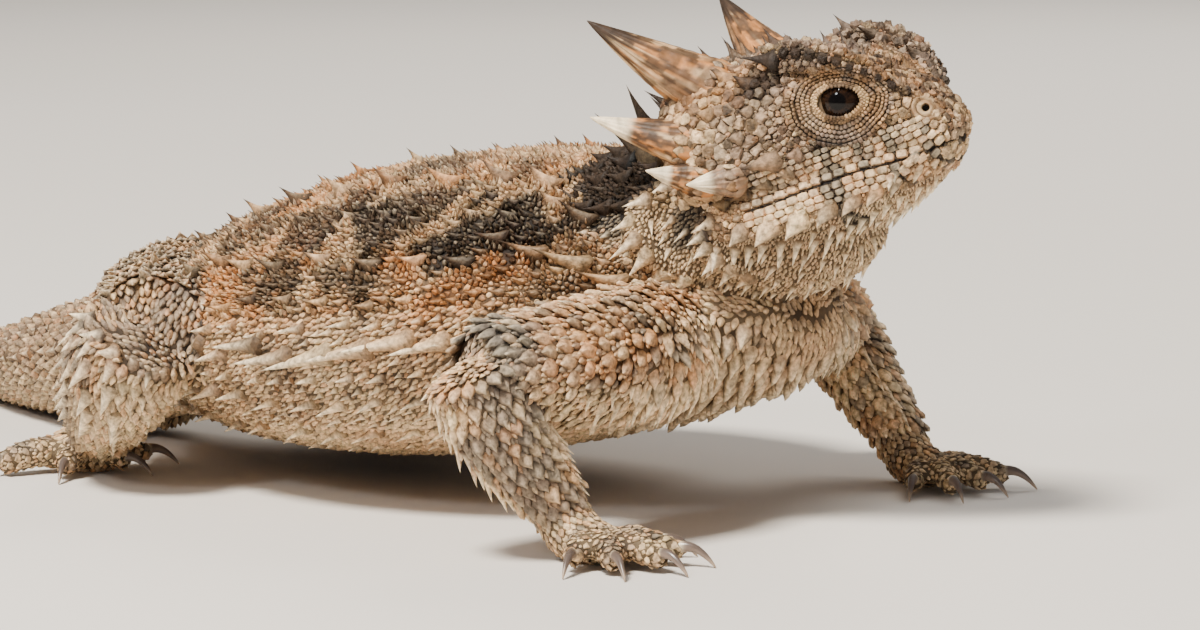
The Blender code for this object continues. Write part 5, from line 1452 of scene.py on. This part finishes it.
for side, half_back in (("left", face_middle[:, 1] >= 0), ("right", face_middle[:, 1] < 0)):
    rough = Shapes()
    beads = 0.15 + 0.15 * noise(face_middle, 1.6, 51)
    grains = fill(upper & half_back, beads)
    near = [fin_tree.find(place) for place in grains.place.tolist()]
    towards = np.array([hit[0][:] for hit in near]) - grains.place
    close = smooth(2.2, 1.2, np.array([hit[2] for hit in near]))
    grains.lay(grains.lie * (1 - close)[:, None] + unit(towards) * close[:, None] * 1.5)
    heap = rng.uniform(0.15, 0.65, len(grains)) + 0.25 * close
    cobbles(rough, grains, heap, rng.uniform(0.1, 0.9, len(grains)) + 0.4 * close, sides=6, rough=0.22, groove=0.03,
            pale=rng.uniform(-0.25, 0.45, len(grains)))
    coat_piece(f"scales_back_{side}", rough, tint=weathered, speckle=0.28)

# The flanks: two fringes of long flat pale thorns, the upper one longest, with smaller rows between
# them and pointed scales that hang back and down to the belly.
FRINGE_ROWS = (
    (0.37, 0.70, 0, -1, 9, 7.4, 1.05, 11), (0.10, 0.34, -1, -1, 7, 5.2, 0.9, 14), (0.12, 0.62, -14, -26, 14, 3.9, 0.75, 28),
    (0.22, 0.66, -36, -44, 12, 3.6, 0.68, 30), (0.14, 0.66, -7, -14, 16, 2.0, 0.6, 26),
    (0.14, 0.64, 6, 5, 13, 2.9, 0.6, 18), (0.20, 0.64, -26, -33, 15, 1.8, 0.5, 30), (0.24, 0.62, -52, -56, 15, 1.7, 0.5, 32),
)
flank = Shapes()
great, (length, half, stand) = grow_rows("torso", FRINGE_ROWS, room=0.7, way=(0.0, 0.0, -0.12))
thorns(flank, great, length, half, stand, flat=(0.85, 0.6), hook=0.3, slim=0.95, edge=0.5, tip=0.9, body=0.05)
side_faces = on("torso") & (face_up <= 11) & (face_up > -36) & (face_s < 0.72)
bristles = fill(side_faces, 0.40, way=(-0.9, 0.0, -0.35), share=1.6)
thorns(flank, bristles, rng.uniform(0.8, 1.6, len(bristles)), 0.42, 28, flat=(0.9, 0.7), edge=0.3, tip=0.6, body=0.25, sides=7,
       rings=5)
low = fill(side_faces, 0.27, way=(-0.9, 0.0, -0.4))
leaves(flank, low, rng.uniform(0.8, 1.25, len(low)), rng.uniform(0.27, 0.36, len(low)), rng.uniform(10, 32, len(low)), keel=0.28)
coat_piece("scales_flanks", flank, tint=weathered)

# Belly and chest: smooth pointed scales laid like tiles, small under the belly, and growing to large
# keeled diamonds that hang over the shoulders and the front of the chest.
under = Shapes()
for arc in ((-89, 6), (174, 269)):
    chest = grow_rings("torso", (0.72, 1.0), arc, 1.95, 1.9, 0.8, jitter=0.08)
    chest.lay(chest.lie * 0.4 + (0.0, 0.0, -1.0))
    leaves(under, chest, rng.uniform(2.7, 3.5, len(chest)), 0.84, rng.uniform(20, 36, len(chest)), keel=0.26,
           outline=SPIKED_LEAF, pale=1.0)
belly = grow_rings("torso", (0.05, 0.72), (-146, -34), 1.05, 1.0, 0.42, jitter=0.08)
leaves(under, belly, rng.uniform(1.6, 1.9, len(belly)), 0.58, rng.uniform(8, 18, len(belly)), keel=0.16)
low_faces = on("torso") & ((face_up <= -36) | ((face_s >= 0.72) & (face_up < 12))) & (face_s > 0.05)
more = fill(low_faces, 0.34, way=(-0.5, 0.0, -0.9))
leaves(under, more, rng.uniform(1.3, 1.7, len(more)), 0.46, rng.uniform(10, 20, len(more)), keel=0.18)
shoulder = on("torso") & (face_up >= 11) & (face_s >= 0.72)
more = fill(shoulder, 0.28, way=(-0.9, 0.0, -0.3))
leaves(under, more, rng.uniform(1.0, 1.4, len(more)), 0.36, rng.uniform(12, 26, len(more)), keel=0.25)
coat_piece("scales_underside", under)

# The legs: keeled scales like roof tiles that point to the toes, with larger spines along the edges
# of each limb and round the knees.
# Rows for the right side: first and last share, first and last angle, number, length, half, degrees off
LIMB_SPINES = {
    "upper_arm": ((0.3, 0.98, 178, 180, 9, 1.5, 0.5, 40), (0.5, 1.0, 200, 205, 6, 1.9, 0.6, 40), (0.4, 0.95, 236, 240, 6, 1.8, 0.6, 38)),
    "forearm": ((0.0, 0.86, 222, 218, 9, 2.2, 0.62, 46), (0.02, 0.96, 46, 50, 17, 1.9, 0.42, 36), (0.1, 0.9, 200, 198, 8, 1.9, 0.6, 36),
                (0.05, 0.95, 244, 238, 9, 2.3, 0.62, 48), (0.15, 0.9, 270, 266, 7, 2.0, 0.6, 42)),
    "thigh": ((0.3, 0.98, 152, 160, 7, 1.9, 0.6, 48), (0.35, 1.0, 182, 190, 7, 2.3, 0.6, 52), (0.4, 1.0, 222, 226, 7, 2.3, 0.62, 48),
              (0.4, 1.0, 116, 120, 6, 1.7, 0.6, 36)),
    "shin": ((0.06, 0.5, 158, 150, 5, 2.5, 1.0, 50), (0.06, 0.55, 184, 182, 6, 2.6, 1.0, 52), (0.06, 0.62, 214, 214, 7, 2.5, 0.9, 54),
             (0.05, 0.8, 246, 242, 7, 2.4, 0.7, 46), (0.4, 0.85, 150, 140, 5, 2.0, 0.65, 34), (0.1, 0.9, 118, 110, 7, 1.8, 0.6, 34)),
}
# Rows that hang from the front of the shoulder: long white-tipped spines below, broad cream shields above
HUNG_SPINES = ((0.16, 0.74, 50, 54, 10, 2.9, 0.62, 26), (0.20, 0.80, 38, 42, 10, 2.4, 0.55, 30), (0.5, 0.85, 66, 68, 6, 1.7, 0.45, 24))
HUNG_SHIELDS = ((0.10, 0.64, 68, 66, 7, 3.3, 1.1, 18), (0.10, 0.60, 84, 82, 6, 3.0, 1.1, 16), (0.10, 0.52, 100, 98, 5, 2.6, 1.0, 16))
TILES = {"upper_arm": (1.45, 1.4), "forearm": (1.2, 1.3), "thigh": (1.1, 1.1), "shin": (1.1, 1.1)}
SHIELD = ((0.0, 0.75, 0.0), (0.3, 1.0, 0.6), (0.55, 0.95, 1.0), (0.72, 0.66, 1.15), (0.86, 0.26, 1.1))


def limb_patchwork(seeds, marking):
    """Single scales of slate, rust or cream among the rest."""
    draw = rng.random(len(seeds))
    marking = mixed(marking, SLATE, 0.6 * (draw < 0.16) * smooth(-0.3, 0.3, seeds.normal[:, 2] + 0.3))
    marking = mixed(marking, RUST, 0.45 * ((draw > 0.16) & (draw < 0.3)))
    return mixed(marking, CREAM, 0.4 * ((draw > 0.3) & (draw < 0.45)))


for side, sign in SIDES.items():
    for pair, names in (("arm", ("upper_arm", "forearm")), ("leg", ("thigh", "shin"))):
        coat = Shapes()
        guides = []
        for name in names:
            node = f"{name}_{side}"
            spines, (length, half, stand) = grow_rows(node, LIMB_SPINES[name], room=0.6, back=1.0, sign_only=sign,
                                                      way=(-0.15, 0.0, -0.1))
            thorns(coat, spines, length, half, stand, flat=(0.8, 0.7), slim=1.0, edge=0.3, tip=0.9, body=0.35)
            if name == "upper_arm":
                hung, (length, half, stand) = grow_rows(node, HUNG_SPINES, room=0.6, back=0.1, sign_only=sign, way=(-0.15, 0.0, -1.0))
                thorns(coat, hung, length, half, stand, flat=(0.55, 0.5), slim=0.85, edge=0.3, tip=0.9, body=0.4)
                shields, (length, half, stand) = grow_rows(node, HUNG_SHIELDS, room=0.7, back=0.1, sign_only=sign, way=(-0.25, 0.0, -1.0))
                leaves(coat, shields, length, half, stand, keel=0.14, outline=SPIKED_LEAF, pale=0.8)
            along, around = TILES[name]
            tiles = grow_rings(node, (0.0, 1.0), (0, 360), along, around, (0.5, 0.6), back=1.0)
            if name == "upper_arm":
                front = smooth(0.75, 0.4, tiles.s) * smooth(0.6, 0.3, tiles.normal[:, 2])
                tiles.lay(tiles.lie * (1 - 0.85 * front)[:, None] + np.array((-0.2, 0.0, -1.0)) * front[:, None])
            size = rng.uniform(0.92, 1.1, len(tiles))
            leaves(coat, tiles, along * 1.8 * size, around * 0.62 * size, rng.uniform(14, 30, len(tiles)), keel=0.28,
                   outline=SPIKED_LEAF if name == "upper_arm" else SHIELD, pale=0.45)
            guides += [tiles, spines]
        guide = Seeds.joined(guides)
        more = fill(on(*[f"{name}_{side}" for name in names]), 0.3, guide=guide)
        leaves(coat, more, rng.uniform(1.2, 1.7, len(more)), 0.42, rng.uniform(14, 30, len(more)), keel=0.25, pale=0.3)
        coat_piece(f"scales_{pair}_{side}", coat, tint=limb_patchwork, speckle=0.2)

# Hands and feet: small tiles over the palms, and rings of small shields along every digit.
for side in SIDES:
    for name in ("hand", "foot"):
        node = f"{name}_{side}"
        coat = Shapes()
        digits = [f"{node}_{n}" for n in range(1, 6)]
        rings = []
        for digit in digits:
            ring = grow_rings(digit, (0.34, 1.02), (0, 360), 0.62, 0.9, 0.42, back=1.0, jitter=0.03)
            rings.append(ring)
        guide = Seeds.joined(rings)
        more = fill(on(*digits), 0.2, guide=guide)
        leaves(coat, guide, 0.95, 0.5, rng.uniform(8, 20, len(guide)), keel=0.2, outline=SHIELD, pale=0.2)
        leaves(coat, more, 0.6, 0.28, 16, keel=0.2)
        palm = grow_rings(node, (0.0, 1.0), (0, 360), 0.78, 0.72, 0.33, back=1.0)
        leaves(coat, palm, rng.uniform(1.1, 1.35, len(palm)), 0.42, rng.uniform(10, 20, len(palm)), keel=0.22)
        more = fill(on(node), 0.27, guide=palm)
        leaves(coat, more, 1.0, 0.36, 14, keel=0.22)
        coat_piece(f"scales_{node}", coat, tint=limb_patchwork, speckle=0.2)

# The tail: whorls of keeled tiles that grow smaller to its end, with a row of spines down each side.
TAIL_ROWS = ((0.10, 0.90, 4, 4, 13, 2.5, 0.9, 32), (0.12, 0.86, 62, 62, 11, 1.6, 0.8, 36), (0.10, 0.88, 32, 32, 12, 1.7, 0.75, 34))
tail = Shapes()
spines, (length, half, stand) = grow_rows("tail", TAIL_ROWS, room=0.6, back=1.0)
thorns(tail, spines, length, half, stand, flat=(0.8, 0.6), edge=0.6, tip=0.3)
whorls = grow_rings("tail", (0.06, 1.0), (0, 360), 1.2, 1.05, (0.44, 0.5), back=1.0)
shrink = 1 - 0.35 * whorls.s
leaves(tail, whorls, 1.95 * shrink, 0.6 * shrink, rng.uniform(12, 24, len(whorls)), keel=0.3, outline=SHIELD, pale=0.4)
more = fill(on("tail") | (on("torso") & (face_s <= 0.05)), 0.36, guide=whorls)
leaves(tail, more, rng.uniform(1.3, 1.7, len(more)), 0.46, rng.uniform(12, 22, len(more)), keel=0.25)
coat_piece("scales_tail", tail, tint=weathered)

# The creases between limbs, neck and trunk, and every gap left: the smallest pointed scales.
creases = Shapes()
rest = fill(np.ones(len(face_owner), bool), 0.24, share=1.0, keep=clear_of_orbits)
leaves(creases, rest, rng.uniform(0.7, 1.0, len(rest)), 0.3, rng.uniform(16, 30, len(rest)), keel=0.25, pale=0.2)
coat_piece("scales_creases", creases)

# The claws: long, curved and glossy, dark brown horn that is pale where it leaves the last ring of scales.
CLAW_LENGTH, CLAW_RADIUS, CLAW_HOOK = 3.7, 0.62, 1.75
claw_keratin = horny_material("claw horn", 0.3, 900.0, 0.00001, 0.15, gloss=0.35)
for side in SIDES:
    for name in ("hand", "foot"):
        node = f"{name}_{side}"
        parts, shells, colours, count = [], [], [], 0
        for n in range(1, 6):
            line = forms[f"{node}_{n}"].table
            tip, knuckle = line[-1, :3], line[round(0.66 * (FORM_RINGS - 1)), :3]
            out = tip - knuckle
            out[2] = 0.1 * np.linalg.norm(out)
            out = unit(out)
            root = tip + (0.0, 0.0, 0.2) - out * 0.8
            across = unit(np.cross(out, (0.0, 0.0, 1.0)))
            t = np.linspace(0, 1, 20)[:, None]
            phi = np.linspace(0, 2 * math.pi, 14, endpoint=False)[None]
            centre = root + out * CLAW_LENGTH * t[..., None] + np.array((0.0, 0.0, 1.0)) * (
                0.5 * np.sin(math.pi * np.clip(t * 0.9, 0, 1)) - CLAW_HOOK * t**2)[..., None]
            steep = (CLAW_LENGTH, 0.5 * math.pi * 0.9 * np.cos(math.pi * t * 0.9) - 2 * CLAW_HOOK * t)
            ahead = unit(out * steep[0] + np.array((0.0, 0.0, 1.0)) * steep[1][..., None])
            over = np.cross(across, ahead)
            thick = CLAW_RADIUS * (1 - t) ** 0.7 * 0.95 + 0.05
            under = 1 - 0.22 * np.maximum(-np.sin(phi), 0)
            loops = centre + (across * (0.82 * np.cos(phi))[..., None] + over * (under * np.sin(phi))[..., None]) * thick[..., None]
            places, faces = rings_to_mesh(loops)
            places[:, 2] = np.maximum(places[:, 2], 0.03)
            parts.append(places)
            shells.append(faces + count)
            count += len(places)
            along = np.broadcast_to(t, (20, 14)).ravel()
            above = np.broadcast_to(np.sin(phi), (20, 14)).ravel()
            horn = mixed(np.tile((0.24, 0.175, 0.135), (280, 1)), (0.10, 0.074, 0.062), smooth(-0.3, 0.8, above))
            horn = mixed(horn, (0.38, 0.28, 0.20), smooth(0.75, 1.0, along))
            colours.append(mixed(horn, CHALK * 0.75, smooth(0.36, 0.2, along + 0.05 * noise(places, 0.6, 61))))
        mesh = new_mesh(f"claws_{node}", np.vstack(parts), np.vstack(shells))
        paint(mesh, np.vstack(colours))
        mesh.materials.append(claw_keratin)
        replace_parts(placed(f"claws_{node}", mesh), *[f"claw_{node}_{n}" for n in range(1, 6)])

# The studio: a pale plain floor, one soft key light high on the left, a broad fill and a light behind.
floor_mesh = bpy.data.meshes.new("floor")
floor_mesh.from_pydata([(-6, -6, 0), (6, -6, 0), (6, 6, 0), (-6, 6, 0)], [], [(0, 1, 2, 3)])
floor = bpy.data.objects.new("floor", floor_mesh)
bpy.context.scene.collection.objects.link(floor)
pale_floor = bpy.data.materials.new("pale floor")
pale_floor.use_nodes = True
floor_mesh.materials.append(pale_floor)
floor_shader = pale_floor.node_tree.nodes["Principled BSDF"]
floor_shader.inputs["Roughness"].default_value = 0.8
floor_grain = pale_floor.node_tree.nodes.new("ShaderNodeTexNoise")
floor_grain.inputs["Scale"].default_value = 60.0
floor_tone = pale_floor.node_tree.nodes.new("ShaderNodeMix")
floor_tone.data_type = "RGBA"
floor_tone.inputs["A"].default_value = (0.66, 0.62, 0.57, 1)
floor_tone.inputs["B"].default_value = (0.70, 0.66, 0.61, 1)
pale_floor.node_tree.links.new(floor_grain.outputs["Fac"], floor_tone.inputs["Factor"])
pale_floor.node_tree.links.new(floor_tone.outputs["Result"], floor_shader.inputs["Base Color"])


def add_light(name, place, aim, size, power, colour):
    light = bpy.data.lights.new(name, "AREA")
    light.size = size
    light.energy = power
    light.color = colour
    lamp = bpy.data.objects.new(name, light)
    bpy.context.scene.collection.objects.link(lamp)
    lamp.location = place
    lamp.visible_glossy = name in ("key", "eye light")
    lamp.rotation_euler = (Vector(aim) - Vector(place)).to_track_quat("-Z", "Y").to_euler()


add_light("key", (0.05, -0.45, 0.75), (0.0, 0.0, 0.02), 0.2, 19.0, (1.0, 0.94, 0.85))
add_light("fill", (0.7, -0.5, 0.25), (0.0, 0.0, 0.02), 0.6, 0.9, (0.92, 0.96, 1.0))
add_light("rim", (-0.2, 0.6, 0.5), (0.0, 0.0, 0.03), 0.4, 4.0, (1.0, 0.97, 0.92))
eye_place, gaze, forward, upward = eye_axes(-1)
eye_place = (from_head(eye_place) + SHIFT) * MM
look = unit(np.array(camera.location) - eye_place)
glint = HEAD_TURN @ unit(gaze + 0.27 * upward)
lamp_place = eye_place + 0.35 * (2 * (glint @ look) * glint - look)
add_light("eye light", tuple(lamp_place), tuple(eye_place), 0.045, 0.3, (0.94, 0.97, 1.0))
world = bpy.data.worlds.new("studio")
bpy.context.scene.world = world
world.use_nodes = True
world.node_tree.nodes["Background"].inputs["Color"].default_value = (0.82, 0.82, 0.84, 1)
world.node_tree.nodes["Background"].inputs["Strength"].default_value = 0.30
